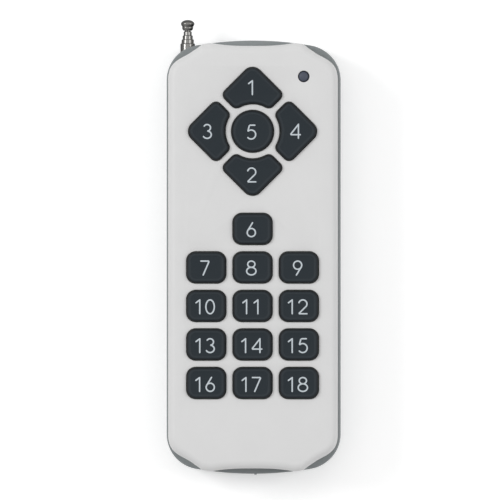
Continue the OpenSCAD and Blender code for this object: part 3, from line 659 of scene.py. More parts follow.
def turned_piece(name, profile, place, closed=False, steps=64, sharp=35):
    """A turned piece: profile holds (radius, height) pairs, and place puts Z on its axis.

    A profile that is open starts and ends at radius nought; a closed one is a tube's section."""
    skin = Skin()
    ways = [way for _, way in circle(2, steps)]
    body = profile if closed else profile[1:-1]
    rings = [skin.ring([place @ Vector((r * x, r * y, z)) for x, y in ways]) for r, z in body]
    skin.strips(rings)
    if closed:
        skin.strip(rings[-1], rings[0])
    else:
        skin.cap(rings[0], place @ Vector((0, 0, profile[0][1])))
        skin.cap(rings[-1], place @ Vector((0, 0, profile[-1][1])))
    return skin.finished(name, sharp)


def prism(name, levels):
    """A closed solid through level rings of equally many points: (points, height) pairs."""
    skin = Skin()
    rings = [skin.ring(points, z) for points, z in levels]
    skin.strips(rings)
    skin.fill(rings[0])
    skin.fill(rings[-1])
    return skin.finished(name)


def box_piece(name, low, high):
    """A plain block, used as a wall or as a cutter."""
    corners = [(low[0], low[1]), (high[0], low[1]), (high[0], high[1]), (low[0], high[1])]
    return prism(name, [(corners, low[2]), (corners, high[2])])


def evaluated_mesh(piece):
    """Applies a piece's modifiers for good."""
    graph = bpy.context.evaluated_depsgraph_get()
    data = bpy.data.meshes.new_from_object(piece.evaluated_get(graph))
    data.name = piece.name
    return data


def combine(piece, other, operation):
    """Cuts, joins or crosses a piece with another, which is used up."""
    modifier = piece.modifiers.new("combine", "BOOLEAN")
    modifier.operation = operation
    modifier.solver = "EXACT"
    modifier.object = other
    data = evaluated_mesh(piece)
    piece.modifiers.clear()
    piece.data = data
    bpy.data.objects.remove(other)
    return piece


def joined(pieces, name):
    """One object out of several that don't overlap."""
    mesh = bmesh.new()
    for piece in pieces:
        mesh.from_mesh(piece.data)
    data = bpy.data.meshes.new(name)
    mesh.to_mesh(data)
    mesh.free()
    for piece in pieces[1:]:
        bpy.data.objects.remove(piece)
    pieces[0].data = data
    pieces[0].name = name
    return pieces[0]


def crisp(piece, sharp=30):
    """Smooth shading with crisp edges past an angle."""
    for polygon in piece.data.polygons:
        polygon.use_smooth = True
    piece.data.set_sharp_from_angle(angle=math.radians(sharp))


def dress(piece, finish):
    """Gives a piece one material."""
    piece.data.materials.clear()
    piece.data.materials.append(FINISHES[finish])


def settle(piece, body, slot, *nodes):
    """Gives a finished piece its slot's material and its body, in place of CAD nodes."""
    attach(piece, body)
    if slot:
        dress(piece, slot)
    if nodes:
        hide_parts(*nodes)


def middle(box):
    return (box[0] + box[1]) / 2


# Geometry node trees


class Growth(Graph):
    """A geometry node tree with named inputs: kinds gives the socket type of each."""

    def __init__(self, name, kinds):
        super().__init__(bpy.data.node_groups.new(name, "GeometryNodeTree"))
        faces = self.tree.interface
        for label, kind in {"Geometry": "Geometry", **kinds, "Material": "Material"}.items():
            faces.new_socket(label, in_out="INPUT", socket_type=f"NodeSocket{kind}")
        faces.new_socket("Geometry", in_out="OUTPUT", socket_type="NodeSocketGeometry")
        sockets = self.node("NodeGroupInput").outputs
        self.given = {socket.name: Wire(self, socket) for socket in sockets}

    def vector(self, x=0.0, y=0.0, z=0.0):
        return self.wire("ShaderNodeCombineXYZ", 0, {"X": x, "Y": y, "Z": z})

    def solid(self):
        """The shape of the object that is given to be copied."""
        return self.wire("GeometryNodeObjectInfo", "Geometry", {"Object": self.given["Solid"]})

    def copies(self, points, shape, scale=(1.0, 1.0, 1.0)):
        return self.wire("GeometryNodeInstanceOnPoints", 0, {
            "Points": points, "Instance": shape, "Scale": scale})

    def real(self, geometry):
        return self.wire("GeometryNodeRealizeInstances", 0, {"Geometry": geometry})

    def end(self, geometry):
        """Ends the tree in plain geometry with its material."""
        coat = self.wire("GeometryNodeSetMaterial", 0, {
            "Geometry": self.real(geometry), "Material": self.given["Material"]})
        self.node("NodeGroupOutput", {0: coat})
        return self.tree


def stroke_tree():
    """Turns lines in a plane into flat strokes of ink with round ends."""
    tree = Growth("ink_strokes", dict.fromkeys(("Stroke", "Ink height", "Level", "Step"), "Float"))
    given = tree.given
    blunt = 0.02  # Square of the share of its width that a line keeps at its very end
    line = tree.wire("GeometryNodeResampleCurve", 0, {
        "Curve": given["Geometry"], "Length": given["Step"]}, mode="LENGTH")
    half = given["Stroke"] * 0.5
    along = tree.wire("GeometryNodeSplineParameter", "Length")
    total = tree.wire("GeometryNodeSplineLength", "Length")
    from_end = tree.maths("MINIMUM", along, total - along)
    left = 1.0 - tree.maths("DIVIDE", from_end, half, clamp=True)
    round_end = tree.maths("SQRT", (1.0 + blunt) - left * left)
    width = tree.maths("MAXIMUM", round_end, tree.wire("GeometryNodeInputSplineCyclic"))
    section = tree.wire("GeometryNodeCurvePrimitiveCircle", 0, {"Resolution": 12, "Radius": half})
    tube = tree.wire("GeometryNodeCurveToMesh", 0, {
        "Curve": line, "Profile Curve": section, "Scale": width, "Fill Caps": True})
    flat = tree.wire("GeometryNodeTransform", 0, {
        "Geometry": tube, "Translation": tree.vector(z=given["Level"]),
        "Scale": tree.vector(1.0, 1.0, given["Ink height"] / half)})
    return tree.end(tree.wire("GeometryNodeSetShadeSmooth", 0, {"Geometry": flat}))


def copies_tree():
    """Puts a copy of one solid on each point of a mesh."""
    tree = Growth("copies", {"Solid": "Object"})
    return tree.end(tree.copies(tree.given["Geometry"], tree.solid()))


def ribs_tree():
    """Lays ribs side by side across a round recess, each as long as the recess is wide there."""
    tree = Growth("ribs", {"Pitch": "Float", "Recess radius": "Float", "Clearance": "Float",
                           "Count": "Int", "Solid": "Object"})
    given = tree.given
    pitch, radius = given["Pitch"], given["Recess radius"]
    start = (given["Count"] - 1.0) * pitch * -0.5
    line = tree.wire("GeometryNodeMeshLine", 0, {
        "Count": given["Count"], "Start Location": tree.vector(y=start),
        "Offset": tree.vector(y=pitch)})
    place = tree.wire("GeometryNodeInputPosition")
    off = tree.wire("ShaderNodeSeparateXYZ", "Y", {"Vector": place})
    half = tree.maths("SQRT", radius * radius - off * off) - given["Clearance"]
    ribs = tree.copies(line, tree.solid(), tree.vector(half, 1.0, 1.0))
    return tree.end(tree.copies(given["Geometry"], tree.real(ribs)))


def grow_tree(piece, tree, values):
    """Runs a tree on a piece, with its inputs set by their names, and keeps the plain mesh."""
    modifier = piece.modifiers.new(tree.name, "NODES")
    modifier.node_group = tree
    names = {item.name: item.identifier for item in tree.interface.items_tree
             if item.item_type == "SOCKET" and item.in_out == "INPUT"}
    for name, value in values.items():
        modifier[names[name]] = value
    data = evaluated_mesh(piece)
    name = piece.name
    bpy.data.objects.remove(piece)
    return linked(name, data)


def points_piece(name, points):
    """A mesh of loose points, for a tree to put copies on."""
    data = bpy.data.meshes.new(name)
    data.from_pydata(points, [], [])
    return linked(name, data)


# Pieces


PAD_TURNS = {1: 0, 2: 180, 3: 90, 4: -90}
FINISHES = {}


def key_outline(n, keys):
    """The outline of key n, in its place; the pad's four outer keys are one outline, turned."""
    low, high = KEY_BOXES[n]
    if n in PAD_TURNS:
        pad = middle(KEY_BOXES[5])
        sharp_tip = KEY_BOXES[4][1].x - pad.x + (math.sqrt(2) - 1) * keys.pad_tip
        return placed(pad_key_outline(keys, sharp_tip), pad.xy, PAD_TURNS[n] + 45)
    if n == 5:
        outline = circle(high.x - low.x)
    else:
        outline = rounded_rectangle(high.x - low.x, high.y - low.y, keys.corner)
    return placed(outline, middle(KEY_BOXES[n]).xy)


def screw_places():
    """The four case screws, from their box and the spread of the upper two."""
    back = bpy.context.scene.remote_back
    half = back.screw_head / 2
    lower = (SCREWS_HIGH.x - half, SCREWS_LOW.y + half)
    upper = (back.screw_spread, SCREWS_HIGH.y - half)
    return [(side * x, y) for x, y in (lower, upper) for side in (-1, 1)]


def along_antenna():
    """Puts Z on the antenna's axis, with heights as places along Y."""
    return Matrix.Translation((AXIS.x, 0, AXIS.z)) @ Matrix.Rotation(-math.pi / 2, 4, "X")


class RemoteFrontCover(Operator):
    """Makes the light front cover with its openings and screw bosses"""
    bl_idname = "remote.front_cover"
    bl_label = "Front cover"

    def execute(self, context):
        case = context.scene.remote_case
        keys = context.scene.remote_keys
        plan = CasePlan(case)
        under = case.face - case.face_thickness
        skin = Skin()
        levels = [(case.wall, under), (case.wall, case.seam), (case.seam_edge, case.seam),
                  (0, case.seam + case.seam_edge)]
        levels += [(case.face_edge * inward, case.face - case.face_edge * drop)
                   for inward, drop in quarter(12)]
        side = [skin.ring(plan.ring(inset, 1), z) for inset, z in levels]
        skin.strips(side)

        tops, bottoms = [], []
        holes = [(key_outline(n, keys), keys.gap) for n in KEY_BOXES]
        holes.append((placed(circle(case.lamp_hole, 48), middle((LENS_LOW, LENS_HIGH)).xy), 0.0))
        for outline, gap in holes:
            rings = [skin.ring(grown(outline, gap + case.hole_edge * outward),
                               case.face - case.hole_edge * drop) for drop, outward in quarter(4)]
            rings.append(skin.ring(grown(outline, gap), under))
            skin.strips(rings)
            tops.append(rings[0])
            bottoms.append(rings[-1])
        for place in screw_places():
            boss = grown(placed(circle(case.boss, 32), place))
            bore = grown(placed(circle(case.boss_bore, 32), place))
            rings = [skin.ring(boss, under), skin.ring(boss, case.seam), skin.ring(bore, case.seam),
                     skin.ring(bore, under - case.boss_end)]
            skin.strips(rings)
            skin.fill(rings[-1])
            bottoms.append(rings[0])
        skin.fill(side[-1], tops)
        skin.fill(side[0], bottoms)
        settle(skin.finished("cover_moulding"), "case", "cover_plastic", "front_cover")
        return {"FINISHED"}


def back_levels(case):
    """The rounded edge round the back: how far inside the outline and how high each ring lies."""
    return [(case.back_edge * inward, case.back_edge * rise) for rise, inward in quarter(10)]


def door_plate(name, back, *levels):
    """A solid over the door without its tongues, past the case's lower end.

    Each level says by how much the plate is widened at a height."""
    half, high_y = DOOR_HIGH.x - back.tongue, DOOR_HIGH.y - back.tongue
    low_y = high_y - 2 * SHELL_HIGH.y
    return prism(name, [([(-half - more, low_y - more), (half + more, low_y - more),
                          (half + more, high_y + more), (-half - more, high_y + more)], z)
                        for more, z in levels])


def door_cutter(name, grow, back):
    """The space of the battery door, with its tongues, widened all round by grow."""
    thick, tongue, overrun = DOOR_HIGH.z + grow, back.tongue + grow, 0.01 * MM
    low = DOOR_HIGH.z / 2 - grow
    plate = door_plate(name, back, (grow, -MM), (grow, thick))
    tongues = door_plate("tongues", back, (tongue, low), (tongue, thick + overrun))
    return combine(plate, tongues, "UNION")


def shell_moulding(case, plan):
    """The shell with its rim, and the lip that stands inside the cover."""
    lip, lip_top = case.wall + case.lip_gap, case.seam + case.lip_height
    lip_foot, slope = case.seam - 1.5 * MM, 0.3 * MM
    levels = [(inset, 0, z) for inset, z in back_levels(case)]
    levels += [(case.rim * inward, 0, case.seam - case.rim * drop) for inward, drop in quarter(5)]
    levels += [(lip, 1, case.seam), (lip, 1, lip_top), (lip + case.lip, 1, lip_top),
               (lip + case.lip, 1, lip_foot), (case.wall, 1, lip_foot - slope),
               (case.wall, 1, case.floor)]
    return prism("shell_moulding", [(plan.ring(inset, follow), z) for inset, follow, z in levels])


def battery_bay(case, grow, low, high):
    """The battery's space between two heights, widened by grow."""
    x = BATTERY_HIGH.x + case.bay_gap + grow
    return box_piece("bay", (-x, BATTERY_LOW.y - case.bay_gap - grow, low),
                     (x, BATTERY_HIGH.y + case.bay_room + grow, high))


def post(place, diameter, foot, top):
    """A round post between two heights."""
    outline = grown(placed(circle(diameter, 32), place))
    return prism("post", [(outline, foot), (outline, top)])


def board_posts(case, foot):
    """Four posts under the circuit board, the upper two clear of the antenna."""
    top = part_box("circuit_board")[0].z
    sleeve_gap, wide_share, low_share, high_share = 1.5 * MM, 0.39, -0.18, 0.22
    lower = (wide_share * case.width, low_share * case.length)
    upper = (-SLEEVE_HIGH.x - sleeve_gap - case.board_post / 2, high_share * case.length)
    return [post((side * x, y), case.board_post, foot, top)
            for x, y in (lower, upper) for side in (1, -1)]


def antenna_seats(case, foot):
    """The boss of the antenna's clip and two cradles under its sleeve."""
    wide, long, clip_screw, clip_drop = 3.3 * MM, 1.6 * MM, 3.75 * MM, 0.4 * MM
    clip_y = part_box("antenna_clip")[0].y + clip_screw
    seats = [post((AXIS.x, clip_y), case.clip_boss, foot, AXIS.z - clip_drop)]
    for along in (0.3, 0.72):
        y = SLEEVE_LOW.y + along * (SLEEVE_HIGH.y - SLEEVE_LOW.y)
        seats.append(box_piece("cradle", (AXIS.x - wide, y, foot),
                               (AXIS.x + wide, y + long, AXIS.z)))
    return seats


def screw_recess(place, case, back):
    """The recess of a case screw, its edge broken, with the bore above it."""
    wide, bore, edge = back.screw_recess / 2, 1.55 * MM, 0.25 * MM
    return turned_piece("recess", [
        (0, -MM), (wide + edge + MM, -MM), (wide, edge), (wide, back.screw_seat),
        (bore, back.screw_seat), (bore, case.seam + MM), (0, case.seam + MM)],
        Matrix.Translation((*place, 0)), steps=40)


def blank_panel(case, back):
    """The blank sunken panel, with sloping sides."""
    slope, door_y = 0.15 * MM, DOOR_HIGH.y - back.tongue
    centre = (0, door_y + back.panel_place * (case.length / 2 - door_y))
    plate = rounded_rectangle(back.panel_width, back.panel_length, back.panel_corner)
    outline = placed(plate, centre)
    return prism("panel", [(grown(outline, slope), -back.panel_depth), (grown(outline, slope), 0.0),
                           (grown(outline), back.panel_depth)])


def antenna_hole(case, plan):
    """The hole in the upper end that the sleeve fills."""
    play = 0.1 * MM
    radius = SLEEVE_RADIUS + play
    low, high = plan.corner_y - case.corner_radius, case.length / 2 + MM
    return turned_piece("antenna_hole", [(0, low), (radius, low), (radius, high), (0, high)],
                        along_antenna())


def end_nub():
    """A small nub on the lower end, at the height of the antenna's axis."""
    x, half, out, tall = 0.6 * MM, 0.4 * MM, 0.8 * MM, 2.4 * MM
    y, z = SHELL_LOW.y, AXIS.z
    return box_piece("nub", (x - half, y, z), (x + half, y + out, z + tall))


class RemoteRearShell(Operator):
    """Makes the grey rear shell with its battery bay, bosses and recesses"""
    bl_idname = "remote.rear_shell"
    bl_label = "Rear shell"

    def execute(self, context):
        case = context.scene.remote_case
        back = context.scene.remote_back
        plan = CasePlan(case)
        sunk, boss_play = 0.4 * MM, 0.1 * MM
        foot = case.floor - sunk
        ceiling = BATTERY_HIGH.z + case.bay_headroom
        shell = shell_moulding(case, plan)
        fittings = [battery_bay(case, case.bay_wall, foot, ceiling + case.bay_ceiling)]
        fittings += [post(place, case.rear_boss, foot, case.seam - boss_play)
                     for place in screw_places()]
        fittings += board_posts(case, foot) + antenna_seats(case, foot)
        combine(shell, joined(fittings, "fittings"), "UNION")

        gate_half, gate_y, gate_low, gate_high = 7 * MM, BATTERY_HIGH.y + case.bay_room, 0.36, 0.78
        gate = box_piece("gate", (-gate_half, gate_y - MM, gate_low * ceiling),
                         (gate_half, gate_y + 2 * MM, gate_high * ceiling))
        door_space = door_cutter("door_space", back.door_gap, back)
        flare = door_plate("flare", back, (back.door_gap + 2 * back.door_edge, -back.door_edge),
                           (back.door_gap, back.door_edge))
        small = [screw_recess(place, case, back) for place in screw_places()]
        small += [blank_panel(case, back), antenna_hole(case, plan)]
        bay = battery_bay(case, 0, -MM, ceiling)
        for cutter in (bay, gate, door_space, flare, joined(small, "small_cutters")):
            combine(shell, cutter, "DIFFERENCE")
        combine(shell, end_nub(), "UNION")
        crisp(shell)
        settle(shell, "case", "shell_plastic", "rear_shell")
        return {"FINISHED"}


def rib_solid(back):
    """A round-backed rib that runs one unit to each side."""
    half, shoulder, steps, sunk = back.rib / 2, 0.35, 8, 0.05 * MM
    crest, root = 0.2 * MM, back.thumb_depth + sunk
    profile = [(-half, root)]
    for i in range(steps + 1):
        a = math.pi * i / steps
        rise = shoulder + (1 - shoulder) * math.sin(a)
        profile.append((-half * math.cos(a), root - (root - crest) * rise))
    profile.append((half, root))
    skin = Skin()
    rings = [skin.ring([(x, y, z) for y, z in profile]) for x in (-1, 1)]
    skin.strips(rings)
    for ring in rings:
        skin.mesh.faces.new(ring)
    return skin.finished("rib")


class RemoteBatteryDoor(Operator):
    """Makes the sliding battery door with its thumb recess and ribs"""
    bl_idname = "remote.battery_door"
    bl_label = "Battery door"

    def execute(self, context):
        case = context.scene.remote_case
        back = context.scene.remote_back
        plan = CasePlan(case)
        door = prism("door_plate", [(plan.ring(inset), z) for inset, z in
                                    [*back_levels(case), (0, case.back_edge + MM)]])
        combine(door, door_cutter("door_shape", 0.0, back), "INTERSECT")
        radius, slope, clearance = back.thumb / 2, 0.3 * MM, 0.25 * MM
        thumb_y = DOOR_HIGH.y - back.tongue - radius - back.thumb_margin
        recess = turned_piece("recess", [
            (0, -MM), (radius, -MM), (radius, 0), (radius - slope, back.thumb_depth),
            (0, back.thumb_depth)], Matrix.Translation((0, thumb_y, 0)), steps=96)
        combine(door, recess, "DIFFERENCE")
        crisp(door)
        settle(door, "door", "shell_plastic", "battery_door")

        solid = rib_solid(back)
        ribs = grow_tree(points_piece("thumb_ribs", [(0.0, thumb_y, 0.0)]), ribs_tree(), {
            "Solid": solid, "Count": back.rib_count, "Pitch": back.rib_pitch,
            "Recess radius": radius, "Clearance": clearance, "Material": FINISHES["shell_plastic"]})
        bpy.data.objects.remove(solid)
        settle(ribs, "door", "shell_plastic")
        return {"FINISHED"}


def key_cap(n, keys):
    """A key with a rounded edge, a dish in its face and a hollow for its pill."""
    low, high = KEY_BOXES[n]
    outline = key_outline(n, keys)
    dish_steps, pill_play = 5, 0.1 * MM
    levels = [(0, low.z)]
    levels += [(keys.edge * inward, high.z - keys.edge * drop) for inward, drop in quarter(8)]
    for i in range(1, dish_steps + 1):
        t = i / dish_steps
        levels.append((keys.edge + keys.dish_width * t, high.z - keys.dish * smooth_step(t)))
    skin = Skin("inset")
    rings = [skin.ring(grown(outline, -inset), z, inset) for inset, z in levels]
    skin.strips(rings)
    skin.fill(rings[-1])
    pill_low, pill_high = PILL_BOXES[n]
    pill = circle(pill_high.x - pill_low.x + pill_play, 32)
    hollow = grown(placed(pill, middle(PILL_BOXES[n]).xy))
    foot = [skin.ring(hollow, low.z), skin.ring(hollow, pill_high.z)]
    skin.strips(foot)
    skin.fill(foot[-1])
    skin.fill(rings[0], [foot[0]])
    return skin.finished(f"key_cap_{n}")


class RemoteKeys(Operator):
    """Makes the eighteen rubber keys"""
    bl_idname = "remote.keys"
    bl_label = "Keys"

    def execute(self, context):
        for n in KEY_BOXES:
            piece = key_cap(n, context.scene.remote_keys)
            settle(piece, f"key_{n}", "key_rubber", f"key_{n}")
        return {"FINISHED"}


def bend(centre, radius, start=0, end=360, tall=1.0):
    """Points of an arc in degrees, stretched upwards by tall."""
    steps = max(6, int(abs(end - start) / 9))
    return [(point.x, centre[1] + (point.y - centre[1]) * tall)
            for point, _ in arc(centre, radius, start, end, steps)]


def loop(centre, radius, tall=1.0):
    """The same all the way round, for a closed line."""
    return bend(centre, radius, tall=tall)[:-1]


class Digits:
    """Centre lines of the printed digits, in millimetres round the middle of each digit."""

    def __init__(self, keys):
        self.end = keys.digit_height / 2 / MM
        self.top = self.end - keys.digit_stroke / 2 / MM

    def bowl_and_stem(self):
        """The six: a round bowl with a straight stem that touches it at the left."""
        radius = 1.27
        centre = Vector((0, radius - self.top))
        head = Vector((0.5, self.end))
        away = head - centre
        lean = math.atan2(away.y, away.x) + math.acos(radius / away.length)
        touch = centre + radius * Vector((math.cos(lean), math.sin(lean)))
        return [loop(centre, radius)], [[tuple(head), tuple(touch)]]

    def bowls(self, small, large, waist):
        """Two bowls that meet at the waist, as centre, radius and height to width."""
        top = self.top
        return [((0, (top + waist) / 2), small, (top - waist) / (2 * small)),
                ((0, (waist - top) / 2), large, (top + waist) / (2 * large))]

    def lines(self, digit):
        """The digit's closed loops and its open lines."""
        top, end = self.top, self.end
        if digit == 0:
            return [loop((0, 0), 1.31, top / 1.31)], []
        if digit == 1:
            return [], [[(-0.72, 0.52 * top), (0.62, top)], [(0.62, end), (0.62, -end)]]
        if digit == 2:
            arch = bend((0, top - 1.27), 1.27, 172, -32)
            return [], [[*arch, (-1.3, -top)], [(-1.3, -top), (1.5, -top)]]
        if digit == 3:
            upper, lower = self.bowls(1.06, 1.29, 0.14)
            return [], [bend(*upper[:2], 160, -90, upper[2]), bend(*lower[:2], 90, -162, lower[2])]
        if digit == 4:
            bar = -0.5 * top
            return [], [[(0.95, end), (0.95, -end)], [(0.95, top), (-1.55, bar)],
                        [(-1.55, bar), (1.75, bar)]]
        if digit == 5:
            bowl = bend((-0.05, 1.4 - top), 1.4, 138, -147)
            return [], [[(1.3, top), (-0.6, top)], [(-0.6, top), bowl[0]], bowl]
        if digit == 6:
            return self.bowl_and_stem()
        if digit == 7:
            return [], [[(-1.5, top), (1.3, top)], [(1.3, top), (-0.66, -end)]]
        if digit == 8:
            return [loop(*bowl) for bowl in self.bowls(1.12, 1.45, 0.2)], []
        return [[[(-x, -y) for x, y in line] for line in lines] for lines in self.bowl_and_stem()]


def add_spline(curve, line, centre, closed):
    """Adds a digit's line to the curve of its number."""
    spline = curve.splines.new("POLY")
    spline.points.add(len(line) - 1)
    for point, (x, y) in zip(spline.points, line):
        point.co = (centre.x + x * MM, centre.y + y * MM, 0.0, 1.0)
    spline.use_cyclic_u = closed


class RemoteNumbers(Operator):
    """Prints the numbers on the keys"""
    bl_idname = "remote.numbers"
    bl_label = "Key numbers"

    # How far the print sits off the middle of its key, and how far a pair of digits is spread
    SINGLE_SHIFT, DOUBLE_SHIFT = -0.36 * MM, -0.7 * MM
    DROP, ROW_CREEP = -0.25 * MM, -0.09 * MM
    KERNING = {10: -0.1 * MM, 11: -0.42 * MM, 13: -0.1 * MM, 14: 0.2 * MM}
    PAD_PLACE = {1: (-0.3 * MM, 13.82 * MM), 2: (0.1 * MM, -13.32 * MM),
                 3: (-13.75 * MM, 0.21 * MM), 4: (13.7 * MM, 0.27 * MM)}

    def execute(self, context):
        keys = context.scene.remote_keys
        digits = Digits(keys)
        tree = stroke_tree()
        for n in KEY_BOXES:
            curve = bpy.data.curves.new(f"number_{n}", "CURVE")
            curve.dimensions = "3D"
            signs = str(n)
            for i, sign in enumerate(signs):
                shift = (i - (len(signs) - 1) / 2) * (keys.digit_pitch + self.KERNING.get(n, 0))
                centre = self.place(n) + Vector((shift, 0.0))
                loops, lines = digits.lines(int(sign))
                for line in loops:
                    add_spline(curve, line, centre, True)
                for line in lines:
                    add_spline(curve, line, centre, False)
            piece = grow_tree(linked(f"number_{n}", curve), tree, {
                "Stroke": keys.digit_stroke, "Ink height": keys.ink,
                "Level": KEY_BOXES[n][1].z - keys.dish, "Step": keys.digit_stroke / 5,
                "Material": FINISHES["ink"]})
            settle(piece, f"key_{n}", None)
        return {"FINISHED"}

    def place(self, n):
        """The middle of a key's number."""
        if n in self.PAD_PLACE:
            centre = middle(KEY_BOXES[5]).xy + Vector(self.PAD_PLACE[n])
        else:
            centre = middle(KEY_BOXES[n]).xy
        shift = self.SINGLE_SHIFT if n < 10 else self.DOUBLE_SHIFT
        creep = ((n - 7) // 3 - 1) * self.ROW_CREEP if n > 6 else 0
        return centre + Vector((shift, self.DROP + creep))


class RemoteLamp(Operator):
    """Makes the smoked lens of the signal lamp"""
    bl_idname = "remote.lamp"
    bl_label = "Signal lamp"

    def execute(self, context):
        centre = middle((LENS_LOW, LENS_HIGH))
        play, step, thick, round_height, sunk = 0.1 * MM, 0.4 * MM, 0.5 * MM, 0.55 * MM, 0.02 * MM
        flange = LENS_HIGH.x - centre.x - play
        radius = flange - step
        low, shoulder = LENS_LOW.z, LENS_HIGH.z - round_height
        dome = context.scene.remote_case.face - sunk
        profile = [(0, low), (flange, low), (flange, low + thick), (radius, low + thick)]
        profile += [(radius - radius * inward, dome - (dome - shoulder) * drop)
                    for inward, drop in quarter(12)]
        profile[-1] = (0, dome)
        place = Matrix.Translation((centre.x - play, centre.y, 0))
        settle(turned_piece("lamp_lens", profile, place, steps=48), "case", "lens", "led_lens")
        return {"FINISHED"}


def collar_foot(low, collar, outer, sizes):
    """The collar at a moving tube's foot, which runs in the tube round it."""
    top = low + sizes.collar
    return [(collar, low), (collar, top), (outer, top)]


class RemoteAntenna(Operator):
    """Makes the antenna's tubes and its tip"""
    bl_idname = "remote.antenna"
    bl_label = "Antenna"

    # The tip's neck, groove, underside and dome, as shares of the head's radius and of the length
    KNOB = [(0.56, 0.0), (0.63, 0.01), (0.68, 0.04), (0.73, 0.09), (0.775, 0.15), (0.805, 0.21),
            (0.815, 0.27), (0.81, 0.32), (0.79, 0.335), (0.79, 0.355), (0.83, 0.375), (0.87, 0.42),
            (0.91, 0.46), (0.95, 0.51), (0.98, 0.56), (0.997, 0.6), (1.0, 0.63), (0.975, 0.7),
            (0.91, 0.77), (0.81, 0.835), (0.69, 0.89), (0.54, 0.935), (0.37, 0.97), (0.18, 0.992)]

    def execute(self, context):
        sizes = context.scene.remote_antenna
        slope = 0.2 * MM
        radii = [SLEEVE_RADIUS, sizes.section_1 / 2, sizes.section_2 / 2, sizes.section_3 / 2,
                 sizes.rod / 2]
        collars = [radius - sizes.tube_wall - sizes.running_gap for radius in radii]
        for i, (name, body) in enumerate(TUBES.items()):
            low, high = (corner.y for corner in TUBE_BOXES[i])
            outer, bore = radii[i], radii[i] - sizes.tube_wall
            mouth = radii[i + 1] + sizes.running_gap
            roll = min(sizes.roll, outer - mouth)
            profile = collar_foot(low, collars[i - 1], outer, sizes) if i else [(outer, low)]
            profile += [(outer - roll * inward, high - roll * drop) for inward, drop in quarter(6)]
            profile += [(mouth, high), (mouth, high - sizes.crimp),
                        (bore, high - sizes.crimp - slope), (bore, low)]
            piece = turned_piece(f"{name}_tube", profile, along_antenna(), closed=True, sharp=50)
            settle(piece, body, "antenna_chrome", name)

        head, neck = (TIP_HIGH.x - TIP_LOW.x) / 2, TIP_HIGH.y - sizes.knob
        foot = collar_foot(TIP_LOW.y, collars[3], radii[4], sizes)
        profile = [(0, TIP_LOW.y), *foot, (radii[4], neck)]
        profile += [(head * r, neck + sizes.knob * t) for r, t in self.KNOB]
        profile.append((0, TIP_HIGH.y))
        piece = turned_piece("antenna_knob", profile, along_antenna(), sharp=50)
        settle(piece, "tip", "antenna_chrome", "antenna_tip")
        return {"FINISHED"}


class RemoteScrews(Operator):
    """Makes the four case screws with their cross recesses"""
    bl_idname = "remote.screws"
    bl_label = "Case screws"

    # One bar of the cross: its length, width and corner radius, and how it narrows with its depth
    CROSS = (2.6 * MM, 0.7 * MM, 0.2 * MM)
    CROSS_LEVELS = ((0.1 * MM, -MM), (0, 0.4 * MM), (-0.15 * MM, 0.95 * MM))

    def execute(self, context):
        back = context.scene.remote_back
        head, shank, point = back.screw_head / 2, 1.2 * MM, 0.4 * MM
        crown, dome, taper = SCREWS_LOW.z, 0.45 * MM, 0.6 * MM
        profile = [(0, crown)]
        profile += [(head - head * inward, crown + dome * rise)
                    for rise, inward in quarter(8, first=1)]
        profile += [(head, back.screw_seat), (shank, back.screw_seat),
                    (shank, SCREWS_HIGH.z - taper), (point, SCREWS_HIGH.z), (0, SCREWS_HIGH.z)]
        screw = turned_piece("screw", profile, Matrix.Identity(4), steps=48)
        for turn in (0, 90):
            slot = placed(rounded_rectangle(*self.CROSS, 4), (0, 0), turn)
            levels = [(grown(slot, more), crown + depth) for more, depth in self.CROSS_LEVELS]
            cutter = prism("cross", levels)
            combine(screw, cutter, "DIFFERENCE")
        crisp(screw)
        points = points_piece("case_screw_set", [(x, y, 0.0) for x, y in screw_places()])
        piece = grow_tree(points, copies_tree(), {
            "Solid": screw, "Material": FINISHES["screw_steel"]})
        bpy.data.objects.remove(screw)
        settle(piece, "case", "screw_steel", "case_screws")
        return {"FINISHED"}


class RemoteInnerParts(Operator):
    """Gives every part inside the case its finish"""
    bl_idname = "remote.inner_parts"
    bl_label = "Inner parts"

    SLOTS = {
        "keypad_mat": "mat_rubber", "circuit_board": "board", "contact_pads": "contact_metal",
        "indicator_led": "led", "antenna_clip": "clip_metal", "antenna_screw": "screw_steel",
        "battery": "battery", "battery_pad": "foam", "battery_connector": "connector",
        "red_lead": "red_sleeve", "black_lead": "black_sleeve", "encoder_chip": "chip_body",
        "resonator_can": "can_metal", "small_parts": "component",
    }

    def execute(self, context):
        slots = {**self.SLOTS, **{f"pill_{n}": "carbon" for n in PILL_BOXES}}
        for name, slot in slots.items():
            dress(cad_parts[name], slot)
        return {"FINISHED"}


def make_floor(context, stage):
    """A pale floor that glows a little where it is seen, and lights the part as plain paint."""
    half, thick, gap, glow = stage.floor_width / 2, 4 * MM, 0.02 * MM, 0.3
    piece = box_piece("floor", (-half, -half, -thick), (half, half, -gap))
    finish = Finish("floor_paint", roughness=0.9, specular=0.0)
    finish.base(finish.shade(context.scene.remote_finishes.floor, finish.noise(0.4, 3.0), 0.004))
    light = finish.wire("ShaderNodeEmission", 0, {"Strength": glow})
    both = finish.wire("ShaderNodeAddShader", 0, {0: finish.shader, 1: light})
    choice = finish.wire("ShaderNodeMixShader", 0, {0: finish.seen(), 1: finish.shader, 2: both})
    finish.feed(finish.output.inputs["Surface"], choice)
    piece.data.materials.append(finish.material)


def make_sky(context, stage):
    """White where it is seen, and dimmer where it only lights the part."""
    world = bpy.data.worlds.new("sky")
    context.scene.world = world
    world.use_nodes = True
    graph = Graph(world.node_tree)
    strength = stage.sky + (1.0 - stage.sky) * graph.seen()
    back = graph.wire("ShaderNodeBackground", 0, {"Color": WHITE, "Strength": strength})
    graph.node("ShaderNodeOutputWorld", {"Surface": back})


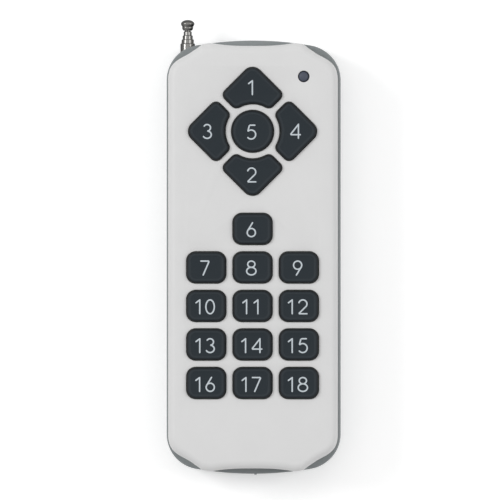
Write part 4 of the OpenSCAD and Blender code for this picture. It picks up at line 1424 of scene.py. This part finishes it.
def make_lamp(name, place, width, power):
    """A square lamp that shines on the part and isn't seen itself."""
    data = bpy.data.lights.new(name, "AREA")
    data.shape = "SQUARE"
    data.size = width
    data.energy = power
    lamp = linked(name, data)
    lamp.location = place
    lamp.rotation_euler = (-Vector(place)).to_track_quat("-Z", "Y").to_euler()
    lamp.visible_camera = False


def make_camera(context, stage):
    """A camera far above the key face, turned a little to the right."""
    data = bpy.data.cameras.new("camera")
    data.lens = data.sensor_width * stage.distance / stage.frame_width
    data.clip_end = 4 * stage.distance
    camera = linked("camera", data)
    back = Vector((math.sin(stage.turn), 0.0, math.cos(stage.turn)))
    target = Vector((stage.centre_x, stage.centre_y, context.scene.remote_case.face))
    camera.location = target + stage.distance * back
    camera.rotation_euler = (0.0, stage.turn, 0.0)
    context.scene.camera = camera


class RemoteStage(Operator):
    """Sets the floor, the lamps, the sky and the camera"""
    bl_idname = "remote.stage"
    bl_label = "Stage"

    # Where each lamp stands, and how wide it is
    LAMPS = {"key_lamp": ((-1.0, 0.35, 1.0), 0.5), "fill_lamp": ((1.0, 0.1, 1.0), 0.5),
             "top_lamp": ((0.0, 0.5, 1.6), 1.2)}

    def execute(self, context):
        stage = context.scene.remote_stage
        make_floor(context, stage)
        make_sky(context, stage)
        for name, (place, width) in self.LAMPS.items():
            make_lamp(name, place, width, getattr(stage, name))
        make_camera(context, stage)
        context.scene.view_settings.view_transform = "Standard"
        return {"FINISHED"}


class RemotePanel(Panel):
    """The remote's sizes and steps in the sidebar"""
    bl_idname = "VIEW3D_PT_remote"
    bl_label = "Wireless remote control"
    bl_space_type = "VIEW_3D"
    bl_region_type = "UI"
    bl_category = "Remote"

    def draw(self, context):
        for name in GROUPS:
            box = self.layout.box()
            group = getattr(context.scene, name)
            for prop in group.bl_rna.properties:
                if prop.identifier not in ("rna_type", "name"):
                    box.prop(group, prop.identifier)
        for step in STEPS:
            self.layout.operator(step.bl_idname)


GROUPS = {
    "remote_case": CaseSizes, "remote_keys": KeySizes, "remote_antenna": AntennaSizes,
    "remote_back": BackSizes, "remote_finishes": Finishes, "remote_stage": StageSizes,
}
STEPS = [RemoteStage, RemoteFrontCover, RemoteRearShell, RemoteBatteryDoor, RemoteKeys,
         RemoteNumbers, RemoteLamp, RemoteAntenna, RemoteScrews, RemoteInnerParts]
CLASSES = [*GROUPS.values(), *STEPS, RemotePanel]


def register():
    for item in CLASSES:
        bpy.utils.register_class(item)
    for name, group in GROUPS.items():
        setattr(bpy.types.Scene, name, PointerProperty(type=group))


def unregister():
    for name in GROUPS:
        delattr(bpy.types.Scene, name)
    for item in reversed(CLASSES):
        bpy.utils.unregister_class(item)


def main():
    register()
    FINISHES.update(make_finishes(bpy.context.scene.remote_finishes))
    for step in STEPS:
        name = step.bl_idname.split(".")[1]
        getattr(bpy.ops.remote, name)()


if __name__ == "__main__":
    main()
